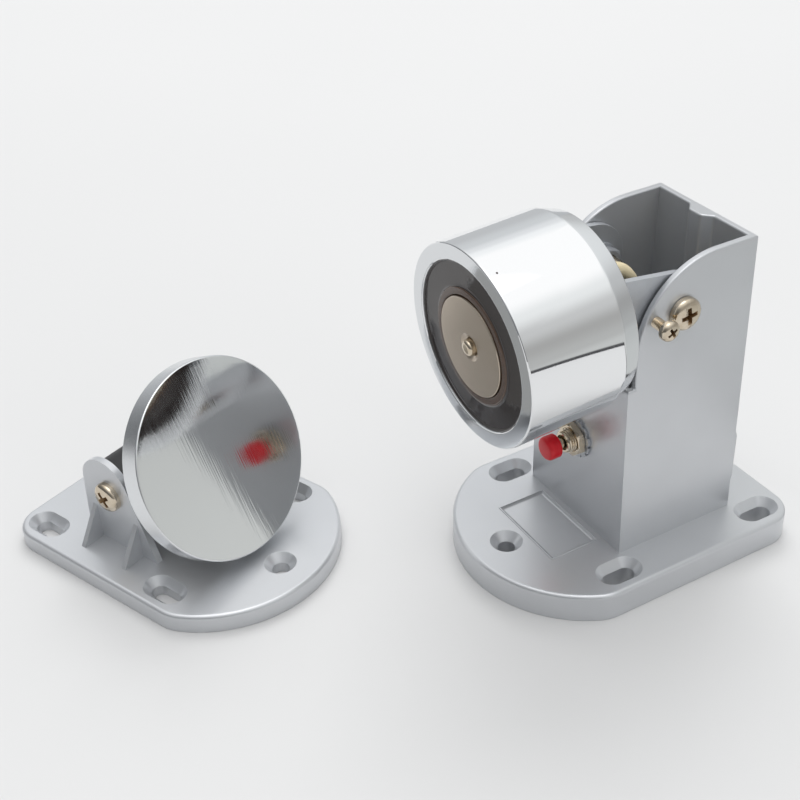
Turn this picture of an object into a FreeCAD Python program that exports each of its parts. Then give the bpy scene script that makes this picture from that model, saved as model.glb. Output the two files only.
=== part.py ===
import FreeCAD, Part
import math
import os
import re
import Sketcher

# Electromagnetic door holder: a magnet unit on its floor column, and the strike unit that the door carries.
# Millimetres and degrees. The origin is the centre of the front screw hole on the underside of the magnet
# unit's base, the magnet faces -Y and +Z is up. "Along" is Y and "across" is X of the unit itself.
sizes = {
    # The outline that both base castings share, measured from the front screw hole
    "plate_width": 68.0,
    "plate_length": 90.0,
    "plate_front_over": 2.5,
    "plate_front_blend": 12.0,
    "plate_rear_corner": 9.0,
    "plate_edge_round": 1.3,
    "plate_skin": 3.0,
    "plate_rim": 3.2,
    "magnet_plate_height": 8.6,
    "strike_plate_height": 5.6,
    "hole_to_front": 11.5,
    # Screw holes and the countersinks above them
    "hole_diameter": 5.0,
    "hole_mouth": 9.4,
    "slot_width": 4.8,
    "slot_length": 9.8,
    "slot_mouth": 8.9,
    "mouth_depth": 2.4,
    "slot_to_side": 7.25,
    "slot_to_rear": 9.8,
    "slots_from_hole": 19.2,
    "boss_wall": 2.2,
    # Bare recess for a label in front of the column
    "label_width": 25.4,
    "label_length": 14.4,
    "label_from_hole": 6.9,
    "label_depth": 0.5,
    # Hollow column, drafted on its two sides
    "column_front": 23.6,
    "column_depth": 39.4,
    "column_foot": 42.6,
    "column_top": 38.4,
    "column_above_pivot": 15.0,
    "column_wall": 2.0,
    "shoulder_below_pivot": 18.5,
    "cheek_setback": 2.4,
    "cheek_round": 24.2,
    "rib_foot": 9.7,
    "rib_tip": 4.4,
    "rib_depth": 2.5,
    # Pivot of the magnet in the cheeks of the column
    "pivot_setback": 16.3,
    "pivot_height": 80.5,
    "pivot_screw": 5.0,
    "pivot_screw_length": 12.0,
    "screw_head": 9.5,
    "screw_head_height": 3.3,
    "running_gap": 0.05,
    "pivot_nut_width": 8.0,
    "pivot_nut_height": 3.2,
    "pivot_washer": 9.6,
    "washer_thickness": 0.8,
    "lock_screw": 3.0,
    "lock_screw_length": 6.0,
    "lock_screw_head": 5.6,
    "lock_screw_head_height": 2.2,
    "lock_screw_reach": 8.7,
    "lock_screw_out": 4.4,
    # Yoke that carries the magnet
    "yoke_side_gap": 0.4,
    "yoke_thickness": 1.8,
    "yoke_ear_radius": 10.8,
    "yoke_ear_setback": 2.9,
    "yoke_ear_taper": 11.0,
    "yoke_bend": 2.6,
    "yoke_bolt": 6.0,
    "yoke_bolt_head": 10.0,
    "yoke_bolt_head_height": 4.0,
    "yoke_bolt_length": 16.0,
    # Magnet: steel pot, core, bobbin, winding and resin
    "magnet_droop": 3.15,
    "magnet_diameter": 55.0,
    "magnet_length": 33.0,
    "magnet_from_pivot": 18.7,
    "pot_wall": 4.6,
    "pot_back": 7.0,
    "pot_bevel": 0.5,
    "pot_taper_length": 5.4,
    "pot_taper_depth": 1.8,
    "coil_room": 9.3,
    "core_bevel": 0.4,
    "bobbin_wall": 1.0,
    "bobbin_flange": 1.2,
    "bobbin_recess": 4.2,
    "collar_wall": 2.2,
    "collar_recess": 0.4,
    "collar_notch": 31.0,
    "collar_notch_at": 27.0,
    "resin_recess": 1.0,
    "winding_clearance": 1.2,
    "coil_seat_gap": 0.1,
    "pin_diameter": 4.4,
    "pin_length": 9.0,
    "pin_proud": 1.4,
    "pin_mouth": 7.6,
    "pin_mouth_depth": 0.8,
    "pin_travel": 1.2,
    "pin_spring_length": 6.0,
    "pin_spring_wire": 0.5,
    "pin_spring_turns": 5,
    # Lead from the coil down into the column
    "lead_diameter": 3.2,
    "lead_clearance": 0.3,
    "lead_inside": 5.0,
    "lead_across": 11.5,
    "lead_off_core": 5.2,
    "lead_straight": 5.7,
    "lead_drop_inward": 2.0,
    "lead_drop_before_pivot": 8.4,
    "lead_under_screw": 0.4,
    "lead_over_block": 16.0,
    # Release button on the column's front
    "button_below_pivot": 44.5,
    "button_cap": 7.0,
    "button_cap_length": 3.9,
    "button_cap_chamfer": 0.5,
    "button_reach": 11.4,
    "button_travel": 2.0,
    "button_stem": 3.0,
    "stem_collar": 4.4,
    "stem_collar_length": 1.2,
    "spring_chamber": 5.2,
    "chamber_from_wall": 1.5,
    "button_spring_length": 6.0,
    "button_spring_wire": 0.5,
    "button_spring_turns": 5,
    "bush_diameter": 6.8,
    "bush_reach": 5.3,
    "switch_body": 9.8,
    "switch_body_length": 11.0,
    "switch_nut_width": 9.2,
    "switch_nut_height": 2.2,
    "switch_washer": 12.0,
    "switch_washer_height": 0.8,
    "tag_width": 1.8,
    "tag_thickness": 0.5,
    "tag_length": 4.5,
    "tag_spacing": 5.0,
    # Terminal block and the cover behind the column
    "terminal_width": 20.0,
    "terminal_height": 11.0,
    "terminal_depth": 9.0,
    "terminal_below_pivot": 38.5,
    "terminal_screw": 3.0,
    "terminal_spacing": 9.0,
    "cover_width": 38.6,
    "cover_height": 17.0,
    "cover_thickness": 2.3,
    "cover_level": 16.5,
    "cover_corner": 2.4,
    "cover_edge_round": 0.6,
    "cover_screw": 2.5,
    "cover_screw_head": 4.6,
    "cover_screw_head_height": 1.4,
    "cover_screws_apart": 30.0,
    "window_width": 20.0,
    "window_height": 10.0,
    "inlet_diameter": 7.2,
    "grommet_flange": 9.6,
    "grommet_lip": 1.2,
    # Strike unit: its place beside the magnet unit, its ears and its swivel
    "strike_across": -29.5,
    "strike_along": -57.4,
    "strike_angle": 113.0,
    "ear_outside": 41.4,
    "ear_thickness": 2.0,
    "ear_radius": 9.5,
    "ear_centre_height": 25.5,
    "ear_centre_behind": 1.1,
    "ear_lean": 19.0,
    "ear_rear_spread": 1.6,
    "ear_pivot_from_hole": 44.3,
    "ear_pivot_height": 23.5,
    "gusset_reach": 7.2,
    "gusset_height": 17.2,
    "gusset_thickness": 1.6,
    "gusset_front": 35.0,
    "gusset_rear": 52.0,
    "disc_lean": 24.0,
    "disc_diameter": 57.5,
    "disc_thickness": 6.7,
    "disc_bevel": 0.4,
    "disc_from_pivot": 22.8,
    "barrel_diameter": 19.4,
    "barrel_side_gap": 0.35,
    "neck_width": 18.0,
    "neck_height": 14.0,
    "buffer_diameter": 22.0,
    "buffer_thickness": 2.2,
    "disc_bolt": 6.0,
    "disc_bolt_depth": 4.5,
    "disc_bolt_head": 10.0,
    "disc_bolt_head_height": 4.0,
    "disc_bolt_socket": 5.0,
    "disc_bolt_sink": 5.5,
    "disc_bolt_gap": 0.1,
}

document = FreeCAD.newDocument("DoorHolder")
sheet = document.addObject("Spreadsheet::Sheet", "Sizes")
for row, (alias, value) in enumerate(sizes.items(), 1):
    sheet.set("A%d" % row, alias)
    sheet.set("B%d" % row, str(value))
    sheet.setAlias("B%d" % row, alias)
document.recompute()

# Sizes that follow from the ones above
derived = {
    "plate_front_radius": "plate_width / 2 + plate_front_over",
    "slots_across": "plate_width - 2 * slot_to_side",
    "slots_along": "plate_length - hole_to_front - slots_from_hole - slot_to_rear",
    "column_height": "pivot_height + column_above_pivot",
    "shoulder_height": "pivot_height - shoulder_below_pivot",
    "core_diameter": "magnet_diameter - 2 * pot_wall - 2 * coil_room",
    "lead_above_axis": "sqrt((core_diameter / 2 + lead_off_core) ^ 2 - lead_across ^ 2)",
    "button_height": "pivot_height - button_below_pivot",
    "terminal_level": "pivot_height - terminal_below_pivot",
    "lead_lowest_at_pivot": "pivot_height - pivot_screw / 2 - lead_under_screw - lead_diameter / 2",
}

nodes = []
vector = FreeCAD.Vector


def linked(text):
    """An expression in which each named size refers to its cell."""
    def cell(word):
        name = word[0]
        if name in derived:
            return "(" + linked(derived[name]) + ")"
        return "Sizes." + name if name in sizes else name
    return re.sub(r"[a-z_]+", cell, str(text))


def bind(item, **links):
    for name, text in links.items():
        item.setExpression(name, linked(text))
    return item


def move(item, at):
    for letter, text in zip("xyz", at):
        item.setExpression("Placement.Base." + letter, linked(text))
    return item


def block(name, x, y, z):
    """A box between two expressions on each axis."""
    item = document.addObject("Part::Box", name)
    spans = ["(%s) - (%s)" % (high, low) for low, high in (x, y, z)]
    bind(item, Length=spans[0], Width=spans[1], Height=spans[2])
    return move(item, (x[0], y[0], z[0]))


def turn_to(item, axis):
    """Turns a piece that stands along +Z to the axis named, such as "-y"."""
    turns = {"x": ((0, 1, 0), 90), "-x": ((0, 1, 0), -90), "y": ((1, 0, 0), -90), "-y": ((1, 0, 0), 90),
             "z": ((0, 0, 1), 0), "-z": ((1, 0, 0), 180)}
    about, angle = turns[axis]
    item.Placement = FreeCAD.Placement(vector(), FreeCAD.Rotation(vector(*about), angle))
    return item


def rod(name, axis, at, diameter, length):
    item = turn_to(document.addObject("Part::Cylinder", name), axis)
    bind(item, Radius="(%s) / 2" % diameter, Height=length)
    return move(item, at)


def cone(name, axis, at, foot, tip, length):
    item = turn_to(document.addObject("Part::Cone", name), axis)
    bind(item, Radius1="(%s) / 2" % foot, Radius2="(%s) / 2" % tip, Height=length)
    return move(item, at)


def hexagon(name, axis, at, across_flats, length):
    item = turn_to(document.addObject("Part::Prism", name), axis)
    item.Polygon = 6
    bind(item, Circumradius="(%s) / 2 / cos(30)" % across_flats, Height=length)
    return move(item, at)


def fuse(name, *parts):
    item = document.addObject("Part::MultiFuse", name)
    item.Shapes = list(parts)
    return item


def group(name, *parts):
    item = document.addObject("Part::Compound", name)
    item.Links = list(parts)
    return item


def common(name, base, tool):
    item = document.addObject("Part::Common", name)
    item.Base = base
    item.Tool = tool
    return item


def cut(name, base, *tools):
    item = document.addObject("Part::Cut", name)
    item.Base = base
    item.Tool = tools[0] if len(tools) == 1 else fuse(name + "Tools", *tools)
    return item


def round_edges(name, base, radius, chosen):
    """Rounds the edges of base that chosen picks, by one of the named sizes."""
    document.recompute()
    item = document.addObject("Part::Fillet", name)
    item.Base = base
    edges = base.Shape.Edges
    item.Edges = [(index + 1, sizes[radius], sizes[radius]) for index, edge in enumerate(edges) if chosen(edge)]
    return item


def stands_upright(edge):
    first, last = edge.Vertexes[0].Point, edge.Vertexes[-1].Point
    return abs(first.x - last.x) < 1e-6 and abs(first.y - last.y) < 1e-6


def lies_at(edge, level):
    return all(abs(corner.Z - level) < 1e-6 for corner in edge.Vertexes)


def sketch_on(body, role):
    sketch = body.newObject("Sketcher::SketchObject", body.Name + "Sketch")
    plane = [feature for feature in body.Origin.OriginFeatures if feature.Role == role][0]
    sketch.AttachmentSupport = (plane, [""])
    sketch.MapMode = "FlatFace"
    return sketch


def number(text):
    """The value of an expression on the sizes, to draw a sketch with before it is bound."""
    scratch = document.addObject("Part::Vertex", "Reading")
    scratch.setExpression("X", linked(text))
    document.recompute([scratch])
    value = float(scratch.X)
    document.removeObject(scratch.Name)
    return value


def outline(sketch, corners):
    """A closed outline of straight sides, each corner held by two bound distances from the origin."""
    points = [vector(number(across), number(up), 0) for across, up in corners]
    count = len(points)
    for index in range(count):
        sketch.addGeometry(Part.LineSegment(points[index], points[(index + 1) % count]), False)
    for index in range(count):
        sketch.addConstraint(Sketcher.Constraint("Coincident", index, 2, (index + 1) % count, 1))
    for index, (across, up) in enumerate(corners):
        for kind, axis, text, value in (("DistanceX", -2, across, points[index].x), ("DistanceY", -1, up, points[index].y)):
            if text == "0":
                sketch.addConstraint(Sketcher.Constraint("PointOnObject", index, 1, axis))
            else:
                place = sketch.addConstraint(Sketcher.Constraint(kind, -1, 1, index, 1, value))
                sketch.setExpression("Constraints[%d]" % place, linked(text))


def turned(name, corners):
    """A turned piece: corners are (radius, place along Y), and the axis is Y."""
    body = document.addObject("PartDesign::Body", name)
    sketch = sketch_on(body, "XY_Plane")
    outline(sketch, corners)
    revolution = body.newObject("PartDesign::Revolution", name + "Revolution")
    revolution.Profile = sketch
    revolution.ReferenceAxis = (sketch, ["V_Axis"])
    revolution.Angle = 360
    return body


def prism(name, plane, corners, length, centred=True):
    """A padded outline: on "YZ_Plane" it runs along X, on "XZ_Plane" from the plane towards -Y."""
    body = document.addObject("PartDesign::Body", name)
    sketch = sketch_on(body, plane)
    outline(sketch, corners)
    pad = body.newObject("PartDesign::Pad", name + "Pad")
    pad.Profile = sketch
    pad.Midplane = centred
    bind(pad, Length=length)
    return body


def slot_pad(name, width, length, depth, taper, at):
    """A slot along Y, padded down from its place and narrowing by the taper."""
    body = document.addObject("PartDesign::Body", name)
    sketch = sketch_on(body, "XY_Plane")
    radius = number(width) / 2
    half = number(length) / 2 - radius
    upright = vector(0, 0, 1)
    sketch.addGeometry(Part.ArcOfCircle(Part.Circle(vector(0, -half, 0), upright, radius), math.pi, 2 * math.pi), False)
    sketch.addGeometry(Part.LineSegment(vector(radius, -half, 0), vector(radius, half, 0)), False)
    sketch.addGeometry(Part.ArcOfCircle(Part.Circle(vector(0, half, 0), upright, radius), 0, math.pi), False)
    sketch.addGeometry(Part.LineSegment(vector(-radius, half, 0), vector(-radius, -half, 0)), False)
    for index in range(4):
        sketch.addConstraint(Sketcher.Constraint("Tangent", index, 2, (index + 1) % 4, 1))
    sketch.addConstraint(Sketcher.Constraint("Equal", 0, 2))
    sketch.addConstraint(Sketcher.Constraint("PointOnObject", 2, 3, -2))
    sketch.addConstraint(Sketcher.Constraint("Symmetric", 0, 3, 2, 3, -1, 1))
    place = sketch.addConstraint(Sketcher.Constraint("Radius", 0, radius))
    sketch.setExpression("Constraints[%d]" % place, linked("(%s) / 2" % width))
    place = sketch.addConstraint(Sketcher.Constraint("DistanceY", 0, 3, 2, 3, 2 * half))
    sketch.setExpression("Constraints[%d]" % place, linked("(%s) - (%s)" % (length, width)))
    pad = body.newObject("PartDesign::Pad", name + "Pad")
    pad.Profile = sketch
    pad.Reversed = True
    bind(pad, Length=depth, TaperAngle=taper)
    return move(body, at)


def placement(x, y, z, about, angle):
    pattern = "create(<<placement>>; create(<<vector>>; %s; %s; %s); create(<<rotation>>; create(<<vector>>; %s); %s))"
    return pattern % (x, y, z, about, angle)


# Where each group of pieces is modelled and where it then goes
pivot_place = "column_front + pivot_setback"
magnet_frame = placement(0, pivot_place, "pivot_height", "1; 0; 0", "magnet_droop")
strike_frame = placement("strike_across", "strike_along", 0, "0; 0; 1", "strike_angle")
swivel_frame = strike_frame + " * " + placement(0, "ear_pivot_from_hole", "ear_pivot_height", "1; 0; 0", "-disc_lean")


def node(item, label, frame=None):
    item.Label = label
    if frame:
        item.setExpression("Placement", linked(frame))
    nodes.append(item)
    return item


# Both castings: the plate outline, its cored underside, the screw bosses and the holes
def plate_outline(name, inset, low, high):
    front = "-hole_to_front + (%s)" % inset
    centre = "plate_front_radius - hole_to_front"
    side = "plate_width / 2 - (%s)" % inset
    rear = "plate_length - hole_to_front - (%s)" % inset
    span = "(%s) - (%s)" % (high, low)
    nose = rod(name + "Nose", "z", (0, centre, low), "2 * (plate_front_radius - (%s))" % inset, span)
    tail = block(name + "Tail", ("-plate_width", "plate_width"), (centre, rear), (low, high))
    strip = block(name + "Strip", ("-(%s)" % side, side), (front, rear), (low, high))
    sharp = common(name + "Sharp", strip, fuse(name + "Both", nose, tail))
    arc_end = number(centre)
    blended = round_edges(name + "Blended", sharp, "plate_front_blend",
                          lambda edge: stands_upright(edge) and edge.Vertexes[0].Y < arc_end - 1)
    return round_edges(name + "Outline", blended, "plate_rear_corner",
                       lambda edge: stands_upright(edge) and abs(edge.Vertexes[0].Y - number(rear)) < 1e-6)


def slot_places():
    for row, along in (("Front", "slots_from_hole"), ("Rear", "slots_from_hole + slots_along")):
        for side, across in (("Left", "-slots_across / 2"), ("Right", "slots_across / 2")):
            yield row + side, across, along


def plate(name, height):
    """The plate with its cored underside and bosses, with its top edge rounded and no holes yet."""
    top = sizes[height]
    solid = round_edges(name + "Rounded", plate_outline(name + "Plate", "0", "0", height), "plate_edge_round",
                        lambda edge: lies_at(edge, top))
    core = plate_outline(name + "Core", "plate_rim", "-1", height + " - plate_skin")
    shell = cut(name + "Cored", solid, core)
    ceiling = height + " - plate_skin / 2"
    bosses = [rod(name + "HoleBoss", "z", (0, 0, 0), "hole_diameter + 2 * boss_wall", ceiling)]
    for place, across, along in slot_places():
        boss = slot_pad(name + place + "Boss", "slot_width + 2 * boss_wall", "slot_length + 2 * boss_wall",
                        ceiling, "0", (across, along, ceiling))
        bosses.append(boss)
    whole = plate_outline(name + "Whole", "plate_edge_round", "0", height)
    inside = common(name + "BossesInside", fuse(name + "Bosses", *bosses), whole)
    return fuse(name + "Plain", shell, inside)


def plate_holes(name, height):
    taper = "-atan((slot_mouth - slot_width) / 2 / mouth_depth)"
    below = height + " + 2"
    tools = [rod(name + "Hole", "z", (0, 0, "-1"), "hole_diameter", below),
             cone(name + "HoleMouth", "-z", (0, 0, height), "hole_mouth", "hole_diameter", "mouth_depth")]
    for place, across, along in slot_places():
        tools.append(slot_pad(name + place + "Slot", "slot_width", "slot_length", below, "0", (across, along, height + " + 1")))
        tools.append(slot_pad(name + place + "Mouth", "slot_mouth", "slot_length + slot_mouth - slot_width",
                              "mouth_depth", taper, (across, along, height)))
    return fuse(name + "Holes", *tools)


# Column of the magnet unit
column_back = "column_front + column_depth"
column_lean = "(column_foot - column_top) / 2 / column_height"


def column_side(level, inset="0"):
    """Half the width of the column at a height, less an inset."""
    return "(column_foot / 2 - (%s) * (%s) - (%s))" % (column_lean, level, inset)


def column_solid(name, inset, low, high, front, back):
    corners = [("-" + column_side(low, inset), low), (column_side(low, inset), low),
               (column_side(high, inset), high), ("-" + column_side(high, inset), high)]
    solid = prism(name, "XZ_Plane", corners, "(%s) - (%s)" % (back, front), centred=False)
    return move(solid, (0, back, 0))


def cheek_cut():
    """What is taken off above the front wall: the cheeks stand back and have a large round shoulder."""
    centre = "column_front + cheek_setback + cheek_round"
    level = "column_height - cheek_round"
    wide = ("-column_foot", "column_foot")
    away = block("CheekAway", wide, ("column_front - 1", centre), ("shoulder_height", "column_height + 1"))
    shoulder = rod("CheekShoulder", "x", ("-column_foot", centre, level), "2 * cheek_round", "2 * column_foot")
    below = block("CheekBelow", wide, ("column_front + cheek_setback", centre + " + 1"), ("0", level))
    return cut("CheekCut", away, shoulder, below)


def wall_rib():
    corners = [("-rib_foot / 2", "0"), ("-rib_tip / 2", "-rib_depth"), ("rib_tip / 2", "-rib_depth"),
               ("rib_foot / 2", "0"), ("rib_foot / 2", "column_wall / 2"), ("-rib_foot / 2", "column_wall / 2")]
    body = document.addObject("PartDesign::Body", "WallRib")
    outline(sketch_on(body, "XY_Plane"), corners)
    pad = body.newObject("PartDesign::Pad", "WallRibPad")
    pad.Profile = body.Group[0]
    bind(pad, Length="column_height - (%s)" % rib_level)
    return move(body, (0, column_back + " - column_wall", rib_level))


pivot_at = (pivot_place, "pivot_height")
lock_place = pivot_place + " - lock_screw_reach"
rib_level = "terminal_level + terminal_height + 4"


def magnet_base():
    outer = column_solid("ColumnOuter", "0", "0", "column_height", "column_front", column_back)
    inner = column_solid("ColumnInner", "column_wall", "-1", "column_height + 1",
                         "column_front + column_wall", column_back + " - column_wall")
    solid = fuse("MagnetBaseSolid", plate("Magnet", "magnet_plate_height"), outer)
    label = block("LabelRecess", ("-label_width / 2", "label_width / 2"),
                  ("label_from_hole", "label_from_hole + label_length"),
                  ("magnet_plate_height - label_depth", "magnet_plate_height + 1"))
    across = "-column_foot"
    pivot_hole = rod("PivotHoles", "x", (across, *pivot_at), "pivot_screw + 2 * running_gap", "2 * column_foot")
    lock_hole = rod("LockHole", "x", (0, lock_place, "pivot_height"), "lock_screw", "column_foot")
    button_hole = rod("ButtonHole", "y", (0, "column_front - 1", "button_height"),
                      "bush_diameter + 2 * running_gap", "column_wall + 2")
    middle = "cover_level + cover_height / 2"
    window = block("CoverWindow", ("-window_width / 2", "window_width / 2"),
                   (column_back + " - column_wall - 1", column_back + " + 1"),
                   (middle + " - window_height / 2", middle + " + window_height / 2"))
    taps = [rod("CoverTap" + side, "y", (sign + "cover_screws_apart / 2", column_back + " - column_wall - 1", middle),
                "cover_screw", "column_wall + 2") for side, sign in (("Left", "-"), ("Right", ""))]
    taps.append(rod("TerminalTap", "y", (0, column_back + " - column_wall - 1", "terminal_level + terminal_height / 2"),
                    "terminal_screw", "column_wall / 2 + 1"))
    hollow = cut("MagnetBaseHollow", solid, inner, cheek_cut(), label, plate_holes("Magnet", "magnet_plate_height"),
                 pivot_hole, lock_hole, button_hole, window, *taps)
    return node(fuse("MagnetBase", hollow, wall_rib()), "magnet_base")


# Screws
def pan_head(name, axis, at, diameter, length, head, head_height):
    """A pan-head screw with a cross recess; its head's underside is at the place given and it points along the axis."""
    shank = rod(name + "Shank", axis, at, diameter, length)
    sign = -1 if axis.startswith("-") else 1
    letter = axis[-1]
    index = "xyz".index(letter)

    def beside(distance):
        place = list(at)
        place[index] = "(%s) - (%d) * (%s)" % (at[index], sign, distance)
        return tuple(place)

    other = "-" + letter if sign > 0 else letter
    drum = rod(name + "Drum", other, at, head, head_height)
    dome = document.addObject("Part::Sphere", name + "Dome")
    bind(dome, Radius="(%s) * 0.62" % head)
    move(dome, beside("(%s) - (%s) * 0.62" % (head_height, head)))
    rounded = common(name + "Head", drum, dome)
    slots = []
    for turn in (0, 1):
        half = ["(%s) * 0.26" % head, "(%s) * 0.055" % head]
        spans = [half[turn], half[1 - turn]]
        limits = []
        for axis_index in range(3):
            if axis_index == index:
                ends = ("(%s) - (%d) * (%s)" % (at[index], sign, head_height + " * 0.45"),
                        "(%s) - (%d) * (%s)" % (at[index], sign, head_height + " + 1"))
                limits.append(ends if sign < 0 else ends[::-1])
            else:
                span = spans.pop(0)
                limits.append(("(%s) - (%s)" % (at[axis_index], span), "(%s) + (%s)" % (at[axis_index], span)))
        slots.append(block(name + "Recess%d" % turn, *limits))
    return fuse(name, shank, cut(name + "Driven", rounded, *slots))


cheek_at_head = column_side("pivot_height - screw_head / 2")
yoke_half_web = ("(yoke_ear_radius / cos(yoke_ear_taper)"
                 " + (magnet_from_pivot - yoke_ear_setback) * tan(yoke_ear_taper))")
cheek_at_yoke = column_side("pivot_height + " + yoke_half_web, "column_wall")
yoke_outside = "(%s) - yoke_side_gap" % cheek_at_yoke
yoke_inside = yoke_outside + " - yoke_thickness"


def pivot_fasteners():
    screws, washers, nuts = [], [], []
    for side, sign, inward in (("Left", "-", "x"), ("Right", "", "-x")):
        outward = "-x" if inward == "x" else "x"
        place = ("%s(%s)" % (sign, cheek_at_head), *pivot_at)
        screws.append(pan_head("PivotScrew" + side, inward, place, "pivot_screw", "pivot_screw_length",
                               "screw_head", "screw_head_height"))
        face = "%s(%s - running_gap)" % (sign, yoke_inside)
        washer = rod("PivotWasher" + side, inward, (face, *pivot_at), "pivot_washer", "washer_thickness")
        hole = rod("PivotWasherHole" + side, inward, (face, *pivot_at), "pivot_screw", "washer_thickness")
        washers.append(cut("PivotWasherCut" + side, washer, hole))
        seat = "%s(%s - running_gap - washer_thickness)" % (sign, yoke_inside)
        nut = hexagon("PivotNut" + side, inward, (seat, *pivot_at), "pivot_nut_width", "pivot_nut_height")
        bore = rod("PivotNutBore" + side, inward, (seat, *pivot_at), "pivot_screw", "pivot_nut_height")
        nuts.append(cut("PivotNutCut" + side, nut, bore))
        node(screws[-1], "pivot_screw_" + side.lower())
    node(group("PivotWashers", *washers), "pivot_washers")
    node(group("PivotNuts", *nuts), "pivot_nuts")


def locking_screw():
    cheek = column_side("pivot_height")
    place = ("%s + lock_screw_out" % cheek, lock_place, "pivot_height")
    screw = pan_head("LockingScrew", "-x", place, "lock_screw", "lock_screw_length", "lock_screw_head",
                     "lock_screw_head_height")
    node(screw, "locking_screw")


# Magnet, modelled from its pivot: the axis runs along Y and the face is towards -Y
pot_rear = "-magnet_from_pivot"
pot_front = "(-magnet_from_pivot - magnet_length)"
coil_rear = "(-magnet_from_pivot - pot_back)"
pot_radius = "magnet_diameter / 2"
core_radius = "core_diameter / 2"
bore_radius = "(magnet_diameter / 2 - pot_wall)"
collar_radius = "(core_diameter / 2 + coil_seat_gap + collar_wall)"
flange_front = "(%s + bobbin_recess)" % pot_front
pin_bore_depth = "(pin_length - pin_proud + pin_spring_length)"


def magnet_pot():
    hub = "(yoke_bolt / 2)"
    corners = [(hub, pot_rear), (hub, coil_rear), (bore_radius, coil_rear), (bore_radius, pot_front),
               (pot_radius + " - pot_bevel", pot_front), (pot_radius, pot_front + " + pot_bevel"),
               (pot_radius, pot_rear + " - pot_taper_length"), (pot_radius + " - pot_taper_depth", pot_rear)]
    body = turned("PotTurned", corners)
    lead_hole = rod("LeadHole", "-y", ("lead_across", pot_rear + " + 1", "lead_above_axis"),
                    "lead_diameter + 2 * lead_clearance", "pot_back + 2")
    node(cut("MagnetPot", body, lead_hole), "magnet_pot", magnet_frame)


def magnet_core():
    bolt_end = "(%s + yoke_thickness - yoke_bolt_length)" % pot_rear
    pin_bore = "(pin_diameter / 2 + running_gap)"
    pin_end = "(%s + %s)" % (pot_front, pin_bore_depth)
    corners = [("0", pin_end), (pin_bore, pin_end), (pin_bore, pot_front + " + pin_mouth_depth"),
               ("pin_mouth / 2", pot_front), (core_radius + " - core_bevel", pot_front),
               (core_radius, pot_front + " + core_bevel"), (core_radius, coil_rear),
               ("yoke_bolt / 2", coil_rear), ("yoke_bolt / 2", bolt_end), ("0", bolt_end)]
    node(turned("MagnetCore", corners), "magnet_core", magnet_frame)


def coil_parts():
    inner = "(%s + coil_seat_gap)" % core_radius
    drum = "(%s + bobbin_wall)" % inner
    rim = "(%s - coil_seat_gap)" % bore_radius
    collar_front = "(%s + collar_recess)" % pot_front
    corners = [(inner, coil_rear), (rim, coil_rear), (rim, coil_rear + " - bobbin_flange"),
               (drum, coil_rear + " - bobbin_flange"), (drum, flange_front + " + bobbin_flange"),
               (rim, flange_front + " + bobbin_flange"), (rim, flange_front), (collar_radius, flange_front),
               (collar_radius, collar_front), (inner, collar_front)]
    spool = turned("BobbinTurned", corners)
    notch = turn_to(document.addObject("Part::Cylinder", "CollarNotch"), "-y")
    bind(notch, Radius=collar_radius + " + 0.01", Height="bobbin_recess", Angle="collar_notch")
    notch.Placement = FreeCAD.Placement(vector(), FreeCAD.Rotation(vector(1, 0, 0), 90)
                                        * FreeCAD.Rotation(vector(0, 0, 1), sizes["collar_notch_at"]))
    move(notch, (0, flange_front, 0))
    lead_slot = rod("BobbinLeadSlot", "-y", ("lead_across", coil_rear + " + 1", "lead_above_axis"),
                    "lead_diameter + 2 * lead_clearance", "bobbin_flange + 2")
    node(cut("CoilBobbin", spool, notch, lead_slot), "coil_bobbin", magnet_frame)

    outer = "(%s - winding_clearance)" % bore_radius
    rear = "(%s - bobbin_flange - coil_seat_gap)" % coil_rear
    front = "(%s + bobbin_flange + coil_seat_gap)" % flange_front
    body = turned("CoilWinding", [("%s + coil_seat_gap" % drum, rear), (outer, rear), (outer, front),
                                  ("%s + coil_seat_gap" % drum, front)])
    node(body, "coil_winding", magnet_frame)

    resin_front = "(%s + resin_recess)" % pot_front
    node(turned("PottingResin", [(collar_radius, flange_front), (bore_radius, flange_front),
                                 (bore_radius, resin_front), (collar_radius, resin_front)]), "potting_resin", magnet_frame)


def spring(name, length, across, wire, turns):
    """A helical spring that stands along +Z from its own foot, inside the length and diameter given."""
    rise = length - wire
    helix = Part.makeHelix(rise / turns, rise, (across - wire) / 2 - sizes["running_gap"])
    first = helix.Edges[0]
    start = first.valueAt(first.FirstParameter)
    ring = Part.Wire(Part.makeCircle(wire / 2, start, first.tangentAt(first.FirstParameter)))
    item = document.addObject("Part::Feature", name)
    item.Shape = Part.Wire(helix.Edges).makePipeShell([ring], True, True)
    return item


def eject_pin():
    tip = "(%s - pin_proud)" % pot_front
    rear = "(%s + pin_length)" % tip
    radius = "pin_diameter / 2"
    shaft = turned("PinTurned", [("0", rear), (radius, rear), (radius, tip), ("0", tip)])
    dome = document.addObject("Part::Sphere", "PinDome")
    bind(dome, Radius="pin_length")
    move(dome, (0, tip + " + pin_length", 0))
    nose = turned("PinNose", [("0", rear), (radius, rear), (radius, tip + " + pin_proud * 0.6"),
                              (radius + " - pin_proud * 0.6", tip), ("0", tip)])
    node(common("EjectPin", common("PinRound", shaft, dome), nose), "eject_pin", magnet_frame)

    length = sizes["pin_spring_length"]
    coil = spring("EjectSpring", length, sizes["pin_diameter"], sizes["pin_spring_wire"], sizes["pin_spring_turns"])
    # The helix stands along +Z from its own foot and is laid along +Y behind the pin
    laid = placement(0, "%s + pin_spring_wire / 2" % rear, 0, "1; 0; 0", "-90")
    node(coil, "eject_spring", magnet_frame + " * " + laid)


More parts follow.
